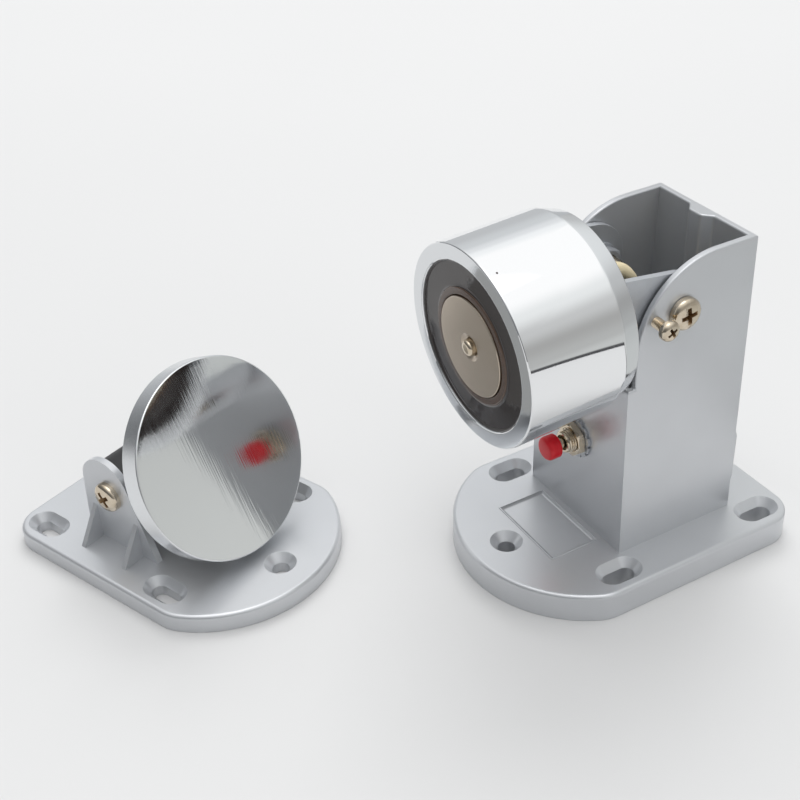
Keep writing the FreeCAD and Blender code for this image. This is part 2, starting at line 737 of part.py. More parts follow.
def yoke():
    touch = ("yoke_ear_radius * sin(yoke_ear_taper) - yoke_ear_setback", "yoke_ear_radius * cos(yoke_ear_taper)")
    corners = [(pot_rear, "-" + yoke_half_web), (touch[0], "-" + touch[1]), touch, (pot_rear, yoke_half_web)]
    wide = "2 * (%s)" % yoke_outside
    cheeks = prism("YokeCheeks", "YZ_Plane", corners, wide)
    ends = rod("YokeEnds", "x", ("-(%s)" % yoke_outside, "-yoke_ear_setback", 0), "2 * yoke_ear_radius", wide)
    gap = block("YokeGap", ("-(%s)" % yoke_inside, yoke_inside),
                (pot_rear + " + yoke_thickness", "2 * yoke_ear_radius"), ("-2 * yoke_ear_radius", "2 * yoke_ear_radius"))
    bent = round_edges("YokeBent", fuse("YokeBlank", cheeks, ends), "yoke_bend",
                       lambda edge: stands_upright(edge) and edge.Vertexes[0].Y < number(pot_rear) + 1e-6)
    holes = [rod("YokePivotHoles", "x", ("-column_foot", 0, 0), "pivot_screw + 2 * running_gap", "2 * column_foot"),
             rod("YokeBoltHole", "-y", (0, "0", 0), "yoke_bolt + 2 * running_gap", "magnet_from_pivot + 1"),
             rod("YokeLeadNotch", "-y", ("lead_across", "0", "lead_above_axis"),
                 "lead_diameter + 2 * lead_clearance", "magnet_from_pivot + 1")]
    node(cut("YokeBracket", bent, gap, *holes), "yoke_bracket", magnet_frame)

    seat = "%s + yoke_thickness" % pot_rear
    head = hexagon("YokeBoltHead", "y", (0, seat + " + washer_thickness", 0), "yoke_bolt_head", "yoke_bolt_head_height")
    shank = rod("YokeBoltShank", "-y", (0, seat + " + washer_thickness", 0), "yoke_bolt",
                "yoke_bolt_length + washer_thickness")
    node(fuse("YokeBolt", head, shank), "yoke_bolt", magnet_frame)
    washer = rod("YokeWasherDisc", "y", (0, seat, 0), "yoke_bolt_head * 1.2", "washer_thickness")
    hole = rod("YokeWasherHole", "y", (0, seat, 0), "yoke_bolt", "washer_thickness")
    node(cut("YokeWasher", washer, hole), "yoke_washer", magnet_frame)


# Release button, modelled where it is: its axis runs along Y through the column's front wall
def release_button():
    level = "button_height"
    face = "column_front"
    cap_front = "%s - button_reach" % face
    cap = rod("CapDrum", "y", (0, cap_front, level), "button_cap", "button_cap_length")
    bevel = document.addObject("Part::Chamfer", "CapBevel")
    bevel.Base = cap
    document.recompute()
    front_edge = [index + 1 for index, edge in enumerate(cap.Shape.Edges)
                  if all(abs(corner.Y - number(cap_front)) < 1e-6 for corner in edge.Vertexes)]
    bevel.Edges = [(index, sizes["button_cap_chamfer"], sizes["button_cap_chamfer"]) for index in front_edge]
    socket = rod("CapSocket", "y", (0, cap_front + " + button_cap_length / 2", level), "button_stem", "button_cap_length")
    node(cut("ButtonCap", bevel, socket), "button_cap")

    wall = face + " + column_wall"
    chamber = wall + " + chamber_from_wall"
    chamber_end = chamber + " + stem_collar_length + button_spring_length"
    stem = rod("StemShaft", "y", (0, cap_front + " + button_cap_length / 2", level), "button_stem",
               "button_reach - button_cap_length / 2 + column_wall + chamber_from_wall + stem_collar_length")
    collar = rod("StemCollar", "y", (0, chamber, level), "stem_collar", "stem_collar_length")
    node(fuse("ButtonStem", stem, collar), "button_stem")
    coil = spring("ButtonSpring", sizes["button_spring_length"], sizes["stem_collar"], sizes["button_spring_wire"],
                  sizes["button_spring_turns"])
    spring_foot = chamber + " + stem_collar_length + button_spring_wire / 2"
    node(coil, "button_spring", placement(0, spring_foot, level, "1; 0; 0", "-90"))

    bush = rod("BushOuter", "-y", (0, wall, level), "bush_diameter", "bush_reach + column_wall")
    case = block("SwitchCase", ("-switch_body / 2", "switch_body / 2"), (wall, wall + " + switch_body_length"),
                 (level + " - switch_body / 2", level + " + switch_body / 2"))
    way = rod("StemWay", "-y", (0, chamber_end, level), "button_stem + 2 * running_gap",
              "bush_reach + column_wall + switch_body_length")
    room = rod("SpringChamber", "y", (0, chamber, level), "spring_chamber", "%s - (%s)" % (chamber_end, chamber))
    node(cut("SwitchBush", bush, way), "switch_bush")
    node(cut("SwitchBody", case, way, room), "switch_body")

    tags = []
    rear = face + " + column_wall + switch_body_length"
    for side, sign in (("Left", "-"), ("Right", "")):
        across = "%stag_spacing / 2" % sign
        tags.append(block("Tag" + side, (across + " - tag_thickness / 2", across + " + tag_thickness / 2"),
                          (rear, rear + " + tag_length"), (level + " - tag_width / 2", level + " + tag_width / 2")))
    node(group("SwitchTags", *tags), "switch_tags")

    washer = rod("LockWasherDisc", "-y", (0, face, level), "switch_washer", "switch_washer_height")
    washer_hole = rod("LockWasherHole", "-y", (0, face, level), "bush_diameter", "switch_washer_height")
    node(cut("SwitchWasher", washer, washer_hole), "switch_lock_washer")
    seat = face + " - switch_washer_height"
    nut = hexagon("SwitchNutHex", "-y", (0, seat, level), "switch_nut_width", "switch_nut_height")
    nut_bore = rod("SwitchNutBore", "-y", (0, seat, level), "bush_diameter", "switch_nut_height")
    node(cut("SwitchNut", nut, nut_bore), "switch_nut")


# Wiring at the back of the column
def wiring():
    back = column_back
    wall = back + " - column_wall"
    middle = "terminal_level + terminal_height / 2"
    body = block("TerminalBody", ("-terminal_width / 2", "terminal_width / 2"), (wall + " - terminal_depth", wall),
                 ("terminal_level", "terminal_level + terminal_height"))
    wells = []
    screws = []
    for side, sign in (("Left", "-"), ("Right", "")):
        across = "%s(terminal_spacing / 2 + terminal_screw / 2)" % sign
        wells.append(rod("WireWay" + side, "z", (across, wall + " - terminal_depth / 2", "terminal_level - 1"),
                         "terminal_screw", "terminal_height + 2"))
        head = rod("TerminalHead" + side, "y", (across, wall + " - terminal_depth", middle), "terminal_screw * 1.3",
                   "terminal_depth / 2 - terminal_screw / 2")
        wells.append(rod("ScrewWell" + side, "y", (across, wall + " - terminal_depth", middle), "terminal_screw * 1.3",
                         "terminal_depth / 2 - terminal_screw / 2"))
        slot = block("TerminalSlot" + side, (across + " - terminal_screw", across + " + terminal_screw"),
                     (wall + " - terminal_depth - 1", wall + " - terminal_depth + 0.6"),
                     (middle + " - 0.3", middle + " + 0.3"))
        screws.append(cut("TerminalScrew" + side, head, slot))
    fixing_hole = rod("TerminalHole", "y", (0, wall + " - terminal_depth - 1", middle), "terminal_screw", "terminal_depth + 2")
    node(cut("TerminalBlock", body, fixing_hole, *wells), "terminal_block")
    node(group("TerminalScrews", *screws), "terminal_screws")
    fixing = pan_head("TerminalFixing", "y", (0, wall + " - terminal_depth", middle), "terminal_screw",
                      "terminal_depth + column_wall / 2", "terminal_screw * 1.8", "terminal_screw * 0.7")
    node(fixing, "terminal_fixing_screw")

    level = "cover_level + cover_height / 2"
    plain = block("CoverPlain", ("-cover_width / 2", "cover_width / 2"), (back, back + " + cover_thickness"),
                  ("cover_level", "cover_level + cover_height"))
    highest = number("cover_level + cover_height")
    furthest = number(back + " + cover_thickness")

    def at_top_corner(edge):
        ends = edge.Vertexes
        return all(abs(end.Z - highest) < 1e-6 for end in ends) and abs(ends[0].Y - ends[-1].Y) > 1e-6

    cornered = round_edges("CoverCornered", plain, "cover_corner", at_top_corner)
    cover = round_edges("CoverRounded", cornered, "cover_edge_round",
                        lambda edge: all(abs(end.Y - furthest) < 1e-6 for end in edge.Vertexes))
    tools = [rod("CoverInlet", "y", (0, back + " - 1", level), "inlet_diameter", "cover_thickness + 2")]
    screws = []
    for side, sign in (("Left", "-"), ("Right", "")):
        across = "%scover_screws_apart / 2" % sign
        tools.append(rod("CoverHole" + side, "y", (across, back + " - 1", level), "cover_screw", "cover_thickness + 2"))
        screws.append(pan_head("CoverScrew" + side, "-y", (across, back + " + cover_thickness", level), "cover_screw",
                               "cover_thickness + column_wall", "cover_screw_head", "cover_screw_head_height"))
    node(cut("RearCover", cover, *tools), "rear_cover")
    node(group("CoverScrews", *screws), "rear_cover_screws")

    bore = "(inlet_diameter / 2 - grommet_lip)"
    outside = "grommet_lip"
    inside = "-cover_thickness - grommet_lip"
    ring = turned("GrommetTurned", [(bore, inside), ("grommet_flange / 2", inside), ("grommet_flange / 2", "-cover_thickness"),
                                    ("inlet_diameter / 2", "-cover_thickness"), ("inlet_diameter / 2", "0"),
                                    ("grommet_flange / 2", "0"), ("grommet_flange / 2", outside), (bore, outside)])
    node(ring, "cable_grommet", placement(0, back + " + cover_thickness", level, "1; 0; 0", "0"))


def magnet_lead():
    """The coil's lead: out of the pot through the yoke's notch, down and back to the terminal block."""
    reach = sizes["column_front"] + sizes["pivot_setback"]
    side = sizes["lead_across"]
    above = number("lead_above_axis")
    droop = math.radians(sizes["magnet_droop"])
    back = -sizes["magnet_from_pivot"] - sizes["lead_inside"]
    start = vector(side, reach + back * math.cos(droop) - above * math.sin(droop),
                   sizes["pivot_height"] + back * math.sin(droop) + above * math.cos(droop))
    wall = sizes["column_front"] + sizes["column_depth"] - sizes["column_wall"]
    block_top = number("terminal_level + terminal_height")
    screw_at = (sizes["terminal_spacing"] + sizes["terminal_screw"]) / 2
    end = vector(screw_at, wall - sizes["terminal_depth"] / 2, block_top)
    out = vector(0, math.cos(droop), math.sin(droop))
    points = [start, start + out * (sizes["lead_inside"] + sizes["lead_straight"]),
              vector(side - sizes["lead_drop_inward"], reach - sizes["lead_drop_before_pivot"],
                     number("lead_lowest_at_pivot")), end + vector(0, 0, sizes["lead_over_block"]), end]
    edges = []
    previous = points[0]
    for before, corner, after in zip(points, points[1:], points[2:]):
        incoming, outgoing = corner - before, after - corner
        half_turn = incoming.getAngle(outgoing) / 2
        trim = 0.45 * min(incoming.Length, outgoing.Length)
        incoming.normalize()
        outgoing.normalize()
        first = corner - incoming * trim
        last = corner + outgoing * trim
        inward = outgoing - incoming
        inward.normalize()
        radius = trim / math.tan(half_turn)
        middle = corner + inward * (radius / math.cos(half_turn) - radius)
        edges.append(Part.LineSegment(previous, first).toShape())
        edges.append(Part.Arc(first, middle, last).toShape())
        previous = last
        print("lead bend radius %.1f" % radius)
    edges.append(Part.LineSegment(previous, points[-1]).toShape())
    path = Part.Wire(edges)
    ring = Part.Wire(Part.makeCircle(sizes["lead_diameter"] / 2, points[0], points[1] - points[0]))
    item = document.addObject("Part::Feature", "MagnetLead")
    item.Shape = path.makePipeShell([ring], True, False)
    section = math.pi * (sizes["lead_diameter"] / 2) ** 2
    print("lead length %.1f, volume %.1f against %.1f" % (path.Length, item.Shape.Volume, section * path.Length))
    node(item, "magnet_lead")


# Strike unit
def strike_base():
    height = "strike_plate_height"
    centre = "(ear_pivot_from_hole + ear_centre_behind)"
    touch = (centre + " - ear_radius * cos(ear_lean)", "ear_centre_height + ear_radius * sin(ear_lean)")
    foot = "%s - (%s - strike_plate_height / 2) * tan(ear_lean)" % touch
    rear = centre + " + ear_radius"
    corners = [(foot, height + " / 2"), (rear + " + ear_rear_spread", height + " / 2"), (rear, "ear_centre_height"),
               (centre, "ear_centre_height"), touch]
    ears = [prism("EarLower", "YZ_Plane", corners, "ear_outside"),
            rod("EarUpper", "x", ("-ear_outside / 2", centre, "ear_centre_height"), "2 * ear_radius", "ear_outside")]
    inside = "ear_outside / 2 - ear_thickness"
    gap = block("EarGap", ("-(%s)" % inside, inside), (0, "plate_length"), (height, "ear_centre_height + 2 * ear_radius"))
    pair = cut("Ears", fuse("EarBlank", *ears), gap)
    gussets = []
    outer = "ear_outside / 2"
    for side, sign in (("Left", "-"), ("Right", "")):
        edge = "%s(%s" % (sign, outer)
        for place in ("gusset_front", "gusset_rear"):
            shape = [(edge + " - ear_thickness / 2)", height + " / 2"), (edge + " + gusset_reach)", height + " / 2"),
                     (edge + " + gusset_reach)", height), (edge + ")", "gusset_height"),
                     (edge + " - ear_thickness / 2)", "gusset_height")]
            web = prism("Gusset" + side + place[7:].title(), "XZ_Plane", shape, "gusset_thickness")
            gussets.append(move(web, (0, place, 0)))
    solid = fuse("StrikeSolid", plate("Strike", "strike_plate_height"), pair, *gussets)
    pivot = ("ear_pivot_from_hole", "ear_pivot_height")
    pivot_hole = rod("EarHoles", "x", ("-ear_outside", *pivot), "pivot_screw", "2 * ear_outside")
    node(cut("StrikeBase", solid, plate_holes("Strike", "strike_plate_height"), pivot_hole), "strike_base", strike_frame)

    for side, sign, inward in (("Left", "-", "x"), ("Right", "", "-x")):
        place = ("%sear_outside / 2" % sign, *pivot)
        screw = pan_head("EarScrew" + side, inward, place, "pivot_screw", "pivot_screw_length", "screw_head", "screw_head_height")
        node(screw, "ear_screw_" + side.lower(), strike_frame)


# Moving part of the strike unit, modelled from the ears' axis with the disc's face towards -Y
def strike_swivel():
    rear = "-disc_from_pivot"
    front = "(-disc_from_pivot - disc_thickness)"
    radius = "disc_diameter / 2"
    blind = "(%s - disc_bolt_depth)" % rear
    node(turned("StrikeDisc", [("0", blind), ("0", front), (radius + " - disc_bevel", front), (radius, front + " + disc_bevel"),
                               (radius, rear + " - disc_bevel"), (radius + " - disc_bevel", rear), ("disc_bolt / 2", rear),
                               ("disc_bolt / 2", blind)]), "strike_disc", swivel_frame)

    neck_end = "(%s + buffer_thickness)" % rear
    washer = rod("BufferDisc", "y", (0, rear, 0), "buffer_diameter", "buffer_thickness")
    hole = rod("BufferHole", "y", (0, rear, 0), "disc_bolt + 2 * disc_bolt_gap", "buffer_thickness")
    node(cut("BufferWasher", washer, hole), "buffer_washer", swivel_frame)

    half = "(ear_outside / 2 - ear_thickness - barrel_side_gap)"
    barrel = rod("Barrel", "x", ("-" + half, 0, 0), "barrel_diameter", "2 * " + half)
    neck = block("Neck", ("-neck_width / 2", "neck_width / 2"), (neck_end, 0), ("-neck_height / 2", "neck_height / 2"))
    seat = "(barrel_diameter / 2 - disc_bolt_sink)"
    tools = [rod("SwivelPivot", "x", ("-" + half, 0, 0), "pivot_screw + 2 * running_gap", "2 * " + half),
             rod("SwivelBoltWay", "y", (0, neck_end, 0), "disc_bolt + 2 * disc_bolt_gap", "disc_from_pivot + barrel_diameter"),
             rod("SwivelBoltSink", "y", (0, seat, 0), "disc_bolt_head + 2 * disc_bolt_gap", "barrel_diameter")]
    node(cut("SwivelBlock", fuse("SwivelSolid", barrel, neck), *tools), "swivel_block", swivel_frame)

    head = rod("DiscBoltHead", "y", (0, seat, 0), "disc_bolt_head", "disc_bolt_head_height")
    shank = rod("DiscBoltShank", "-y", (0, seat, 0), "disc_bolt", "%s + disc_from_pivot + disc_bolt_depth" % seat)
    socket = hexagon("DiscBoltSocket", "y", (0, seat + " + disc_bolt_head_height / 2", 0), "disc_bolt_socket",
                     "disc_bolt_head_height")
    node(cut("DiscBolt", fuse("DiscBoltSolid", head, shank), socket), "disc_bolt", swivel_frame)


magnet_base()
pivot_fasteners()
locking_screw()
magnet_pot()
magnet_core()
coil_parts()
eject_pin()
yoke()
release_button()
wiring()
magnet_lead()
strike_base()
strike_swivel()
document.recompute()

for item in document.Objects:
    if "Invalid" in item.State or "Error" in item.State:
        raise RuntimeError("%s failed: %s" % (item.Name, item.State))
for item in nodes:
    if item.Shape.isNull() or not item.Shape.isValid() or item.Shape.Volume <= 0:
        raise RuntimeError("%s has no sound shape" % item.Label)

os.makedirs("parts", exist_ok=True)
for item in nodes:
    item.Shape.exportStep("parts/%s.step" % item.Label)
print("%d parts" % len(nodes))
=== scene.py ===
import math

import bpy
from mathutils import Matrix, Vector


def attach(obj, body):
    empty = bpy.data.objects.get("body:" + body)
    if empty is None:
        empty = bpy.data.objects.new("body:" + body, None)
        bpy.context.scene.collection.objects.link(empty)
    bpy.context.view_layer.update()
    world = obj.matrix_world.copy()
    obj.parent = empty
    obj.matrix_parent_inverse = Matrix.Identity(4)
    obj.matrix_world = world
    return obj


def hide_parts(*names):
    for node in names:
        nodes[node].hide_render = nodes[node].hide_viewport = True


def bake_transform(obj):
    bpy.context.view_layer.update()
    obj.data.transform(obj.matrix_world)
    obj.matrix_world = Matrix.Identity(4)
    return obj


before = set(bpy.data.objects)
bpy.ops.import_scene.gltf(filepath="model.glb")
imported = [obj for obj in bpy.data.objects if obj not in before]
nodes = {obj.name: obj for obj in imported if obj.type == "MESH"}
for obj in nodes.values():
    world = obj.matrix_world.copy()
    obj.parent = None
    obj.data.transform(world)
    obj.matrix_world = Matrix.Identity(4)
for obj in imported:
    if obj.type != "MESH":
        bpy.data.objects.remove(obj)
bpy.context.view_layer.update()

# Electromagnetic door holder: painted castings, chromed magnet and strike disc, nickel-plated screws.
# Sizes are in millimetres and are turned to metres where a piece is made.
mm = 0.001


# sRGB hex to the linear colour that sockets take
def linearColour(hexText, alpha=1.0):
    parts = [int(hexText[i:i + 2], 16) / 255 for i in (1, 3, 5)]
    return tuple(p / 12.92 if p <= 0.04045 else ((p + 0.055) / 1.055) ** 2.4 for p in parts) + (alpha,)


def addNode(tree, kind, values=None, links=None, **settings):
    node = tree.nodes.new(kind)
    for name, value in settings.items():
        setattr(node, name, value)
    for name, value in (values or {}).items():
        node.inputs[name].default_value = value
    for name, source in (links or {}).items():
        tree.links.new(source, node.inputs[name])
    return node


def newMaterial(name, colour, metallic=0.0, roughness=0.5, **values):
    material = bpy.data.materials.new(name)
    material.use_nodes = True
    shader = material.node_tree.nodes["Principled BSDF"]
    shader.inputs["Base Color"].default_value = linearColour(colour)
    shader.inputs["Metallic"].default_value = metallic
    shader.inputs["Roughness"].default_value = roughness
    for socket, value in values.items():
        shader.inputs[socket.replace("_", " ")].default_value = value
    return material, material.node_tree, shader


# Object coordinates, seen from a piece's own place where its matrix is given
def pieceSpace(tree, matrix=None):
    coordinates = addNode(tree, "ShaderNodeTexCoord").outputs["Object"]
    if matrix is None:
        return coordinates
    inverse = matrix.inverted()
    back = {"Location": inverse.to_translation(), "Rotation": inverse.to_euler()}
    return addNode(tree, "ShaderNodeMapping", back, {"Vector": coordinates}).outputs["Vector"]


# A pattern lifts the surface by a height in millimetres, and varies the roughness between low and high
def addRelief(tree, shader, pattern, height, low, high):
    shade = addNode(tree, "ShaderNodeMapRange", {"To Min": low, "To Max": high}, {"Value": pattern})
    tree.links.new(shade.outputs["Result"], shader.inputs["Roughness"])
    bump = addNode(tree, "ShaderNodeBump", {"Distance": height * mm}, {"Height": pattern})
    tree.links.new(bump.outputs["Normal"], shader.inputs["Normal"])
    return bump


# Fine grain of a real size
def addGrain(tree, shader, space, grain, height, low, high, detail=3.0):
    noise = addNode(tree, "ShaderNodeTexNoise", {"Scale": 1 / (grain * mm), "Detail": detail},
                    {"Vector": space})
    return addRelief(tree, shader, noise.outputs["Fac"], height, low, high)


# Slow change of colour over patches of a real size; inputs 6 and 7 of a colour mix are its two colours
def addTint(tree, shader, space, size, dark, light):
    noise = addNode(tree, "ShaderNodeTexNoise", {"Scale": 1 / (size * mm), "Detail": 2.0}, {"Vector": space})
    mix = addNode(tree, "ShaderNodeMix", {6: linearColour(dark), 7: linearColour(light)},
                  {0: noise.outputs["Fac"]}, data_type="RGBA")
    tree.links.new(mix.outputs[2], shader.inputs["Base Color"])


def startPiece():
    if bpy.context.object and bpy.context.object.mode == "EDIT":
        bpy.ops.object.mode_set(mode="OBJECT")
    bpy.ops.object.select_all(action="DESELECT")


def selectOnly(piece):
    startPiece()
    piece.select_set(True)
    bpy.context.view_layer.objects.active = piece


# Selects the corners that the test takes, and leaves the piece in edit mode
def selectWhere(piece, test):
    selectOnly(piece)
    bpy.ops.object.mode_set(mode="EDIT")
    bpy.ops.mesh.select_mode(type="VERT")
    bpy.ops.mesh.select_all(action="DESELECT")
    bpy.ops.object.mode_set(mode="OBJECT")
    for corner in piece.data.vertices:
        corner.select = test(corner.co)
    bpy.ops.object.mode_set(mode="EDIT")


# Names the piece just added, and puts its place into its mesh
def nameNew(name):
    piece = bpy.context.object
    piece.name = piece.data.name = name
    bpy.ops.object.transform_apply(location=True, rotation=True, scale=True)
    return piece


# Turns all faces outwards and leaves edit mode
def closePiece():
    bpy.ops.mesh.select_all(action="SELECT")
    bpy.ops.mesh.normals_make_consistent(inside=False)
    bpy.ops.object.mode_set(mode="OBJECT")


# Turned piece: a circle is extruded from corner to corner of the profile of (radius, height)
def turnPiece(name, profile, segments=96, hollow=False):
    startPiece()
    radius, height = profile[0]
    bpy.ops.mesh.primitive_circle_add(vertices=segments, radius=radius * mm, location=(0, 0, height * mm),
                                      fill_type="NOTHING" if hollow else "NGON")
    piece = nameNew(name)
    bpy.ops.object.mode_set(mode="EDIT")
    bpy.ops.mesh.select_all(action="SELECT")
    for newRadius, newHeight in profile[1:] + (profile[:1] if hollow else []):
        bpy.ops.mesh.extrude_region_move(TRANSFORM_OT_translate={"value": (0, 0, (newHeight - height) * mm)})
        bpy.ops.transform.resize(value=(newRadius / radius, newRadius / radius, 1),
                                 center_override=(0, 0, newHeight * mm))
        radius, height = newRadius, newHeight
    if hollow:
        bpy.ops.mesh.select_all(action="SELECT")
        bpy.ops.mesh.remove_doubles(threshold=1e-7)
    closePiece()
    return piece


def boxPiece(name, size, centre):
    startPiece()
    bpy.ops.mesh.primitive_cube_add(size=1, location=Vector(centre) * mm, scale=Vector(size) * mm)
    return nameNew(name)


# A line of edges through the points, drawn from one vertex; the piece stays in edit mode
def drawLine(name, points):
    startPiece()
    bpy.ops.mesh.primitive_plane_add(size=mm)
    piece = nameNew(name)
    bpy.ops.object.mode_set(mode="EDIT")
    bpy.ops.mesh.select_all(action="SELECT")
    bpy.ops.mesh.merge(type="CENTER")
    bpy.ops.transform.translate(value=Vector(points[0]) * mm)
    for before, after in zip(points, points[1:]):
        step = (Vector(after) - Vector(before)) * mm
        bpy.ops.mesh.extrude_vertices_move(TRANSFORM_OT_translate={"value": step})
    return piece


def applyModifier(piece, kind, **settings):
    selectOnly(piece)
    modifier = piece.modifiers.new(kind.lower(), kind)
    for name, value in settings.items():
        setattr(modifier, name, value)
    bpy.ops.object.modifier_apply(modifier=modifier.name)
    return piece


def bevelPiece(piece, width, segments=3, angle=30):
    return applyModifier(piece, "BEVEL", width=width * mm, segments=segments, limit_method="ANGLE",
                         angle_limit=math.radians(angle), use_clamp_overlap=True)


# Cuts with another piece, or keeps what both share, then removes that other piece
def cutPiece(piece, cutter, operation="DIFFERENCE"):
    applyModifier(piece, "BOOLEAN", operation=operation, object=cutter, solver="EXACT")
    bpy.data.objects.remove(cutter)


# Puts the place into the mesh, so the object itself stays at the origin
def placePiece(piece, matrix):
    selectOnly(piece)
    piece.matrix_world = matrix @ piece.matrix_world
    bpy.ops.object.transform_apply(location=True, rotation=True, scale=True)
    return piece


# Smooth shading up to an angle, with large flat faces kept flat beside their rounded edges
def smoothPiece(piece, angle=35):
    selectOnly(piece)
    bpy.ops.object.shade_smooth_by_angle(angle=math.radians(angle))
    return applyModifier(piece, "WEIGHTED_NORMAL", keep_sharp=True)


def joinPieces(piece, *others):
    selectOnly(piece)
    for other in others:
        other.select_set(True)
    bpy.ops.object.join()
    return piece


def copyPiece(piece, name):
    twin = piece.copy()
    twin.data = piece.data.copy()
    twin.name = twin.data.name = name
    bpy.context.scene.collection.objects.link(twin)
    return twin


# Gives the piece these materials and no others
def setMaterials(piece, *materials):
    piece.data.materials.clear()
    for material in materials:
        piece.data.materials.append(material)


# Gives the piece its body, and its material unless it has its own, and hides the solids it stands for
def dress(piece, material, body, slot, *replaced):
    if material is not None:
        setMaterials(piece, material)
    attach(piece, body)
    if replaced:
        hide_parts(*replaced)


# Rims that are rounded more than the other edges: the column's top, where the screws' bores between two places
# in y and z stay as they are, and the edge of the bare label recess
rounded = {"magnet_base": [
    {"from": (-20, 20, 62), "to": (20, 66, 98), "width": 0.55, "bores": ((29.4, 76), (45, 85))},
    {"from": (-13, 6.5, 8.55), "to": (13, 21.7, 8.65), "width": 0.25},
]}


def isWithin(ends, low, high, spare=0.0):
    return all(least - spare <= value <= most + spare
               for end in ends for least, value, most in zip(low, end, high))


# Rounds the sharp edges of a zone, leaving out the bores in its sides; the piece is in edit mode
def roundZone(piece, zone):
    bpy.ops.mesh.select_mode(type="EDGE")
    bpy.ops.mesh.select_all(action="DESELECT")
    bpy.ops.mesh.edges_select_sharp(sharpness=math.radians(40))
    bpy.ops.object.mode_set(mode="OBJECT")
    for edge in piece.data.edges:
        ends = [piece.data.vertices[end].co / mm for end in edge.vertices]
        bored = "bores" in zone and isWithin([end.yz for end in ends], *zone["bores"])
        edge.select = edge.select and isWithin(ends, zone["from"], zone["to"], 0.01) and not bored
    bpy.ops.object.mode_set(mode="EDIT")
    bpy.ops.mesh.bevel(offset=zone["width"] * mm, segments=4, affect="EDGES", clamp_overlap=False)


# A copy of a solid with its flat faces joined, and its edges softened as casting, moulding and plating leave them
def softenNode(node, name, width=0.0):
    startPiece()
    piece = nodes[node].copy()
    piece.data = nodes[node].data.copy()
    piece.name = piece.data.name = name
    piece.parent = None
    for key in list(piece.keys()):
        del piece[key]
    bpy.context.scene.collection.objects.link(piece)
    selectOnly(piece)
    bpy.ops.object.mode_set(mode="EDIT")
    bpy.ops.mesh.select_all(action="SELECT")
    bpy.ops.mesh.remove_doubles(threshold=2e-6)
    bpy.ops.mesh.dissolve_limited(angle_limit=math.radians(0.6), use_dissolve_boundaries=False)
    bpy.ops.mesh.customdata_custom_splitnormals_clear()
    for zone in rounded.get(node, []):
        roundZone(piece, zone)
    bpy.ops.object.mode_set(mode="OBJECT")
    if width:
        bevelPiece(piece, width)
    return smoothPiece(piece, 40)


def turned(x=0.0, y=0.0, z=0.0):
    return (Matrix.Rotation(math.radians(z), 4, "Z") @ Matrix.Rotation(math.radians(y), 4, "Y")
            @ Matrix.Rotation(math.radians(x), 4, "X"))


def moved(x, y, z):
    return Matrix.Translation(Vector((x, y, z)) * mm)


# Where the groups stand: in each, a piece is modelled along +Z, which then faces forwards or outwards
places = {
    "pivot": (0.0, 39.9, 80.5), "droop": 3.15, "button": (0.0, 23.6, 36.0),
    "strike": (-29.5, -57.4, 0.0), "strikeTurn": 113.0, "earPivot": (0.0, 44.3, 23.5), "lean": 24.0,
}
magnetSpace = moved(*places["pivot"]) @ turned(x=places["droop"])
magnetPlace = magnetSpace @ turned(x=90)
buttonPlace = moved(*places["button"]) @ turned(x=90)
strikePlace = moved(*places["strike"]) @ turned(z=places["strikeTurn"])
swivelSpace = strikePlace @ moved(*places["earPivot"]) @ turned(x=-places["lean"])
swivelPlace = swivelSpace @ turned(x=90)
print("frame loaded")


# Materials
# Silver-grey metallic paint on a die casting: satin, with a fine flake grain and a faint orange peel
castingPaint = {"dark": "#c8cacd", "light": "#d1d3d6", "patch": 22.0, "metallic": 0.6, "grain": 0.35,
                "grainHeight": 0.004, "smooth": 0.27, "matt": 0.37, "peel": 2.2, "peelHeight": 0.015}
paintedCasting, tree, shader = newMaterial("satinSilverPaint", castingPaint["light"], castingPaint["metallic"])
space = pieceSpace(tree)
addTint(tree, shader, space, castingPaint["patch"], castingPaint["dark"], castingPaint["light"])
flakes = addGrain(tree, shader, space, castingPaint["grain"], castingPaint["grainHeight"],
                  castingPaint["smooth"], castingPaint["matt"])
peel = addNode(tree, "ShaderNodeTexNoise", {"Scale": 1 / (castingPaint["peel"] * mm), "Detail": 1.0},
               {"Vector": space})
slow = addNode(tree, "ShaderNodeBump", {"Distance": castingPaint["peelHeight"] * mm},
               {"Height": peel.outputs["Fac"], "Normal": flakes.outputs["Normal"]})
tree.links.new(slow.outputs["Normal"], shader.inputs["Normal"])

# Bright chrome on turned steel: a mirror with the faintest haze, long slow waves from polishing, and one dark pit
shellChrome = {"plate": "#eff0f1", "haze": 0.045, "wave": 14.0, "waveHeight": 0.01,
               "pit": (10.46, -49.02, 25.43), "pitRadius": 0.28, "pitColour": "#3a2a28"}
chromeMirror, tree, shader = newMaterial("brightChrome", shellChrome["plate"], 1.0, shellChrome["haze"])
space = pieceSpace(tree, magnetSpace)
waves = addNode(tree, "ShaderNodeTexNoise", {"Scale": 1 / (shellChrome["wave"] * mm), "Detail": 1.0},
                {"Vector": space})
bump = addNode(tree, "ShaderNodeBump", {"Distance": shellChrome["waveHeight"] * mm},
               {"Height": waves.outputs["Fac"]})
tree.links.new(bump.outputs["Normal"], shader.inputs["Normal"])
away = addNode(tree, "ShaderNodeVectorMath", {1: Vector(shellChrome["pit"]) * mm}, {0: space},
               operation="DISTANCE")
pit = addNode(tree, "ShaderNodeMath", {1: shellChrome["pitRadius"] * mm}, {0: away.outputs["Value"]},
              operation="LESS_THAN")
plateAndPit = {6: linearColour(shellChrome["plate"]), 7: linearColour(shellChrome["pitColour"])}
mix = addNode(tree, "ShaderNodeMix", plateAndPit, {0: pit.outputs[0]}, data_type="RGBA")
tree.links.new(mix.outputs[2], shader.inputs["Base Color"])


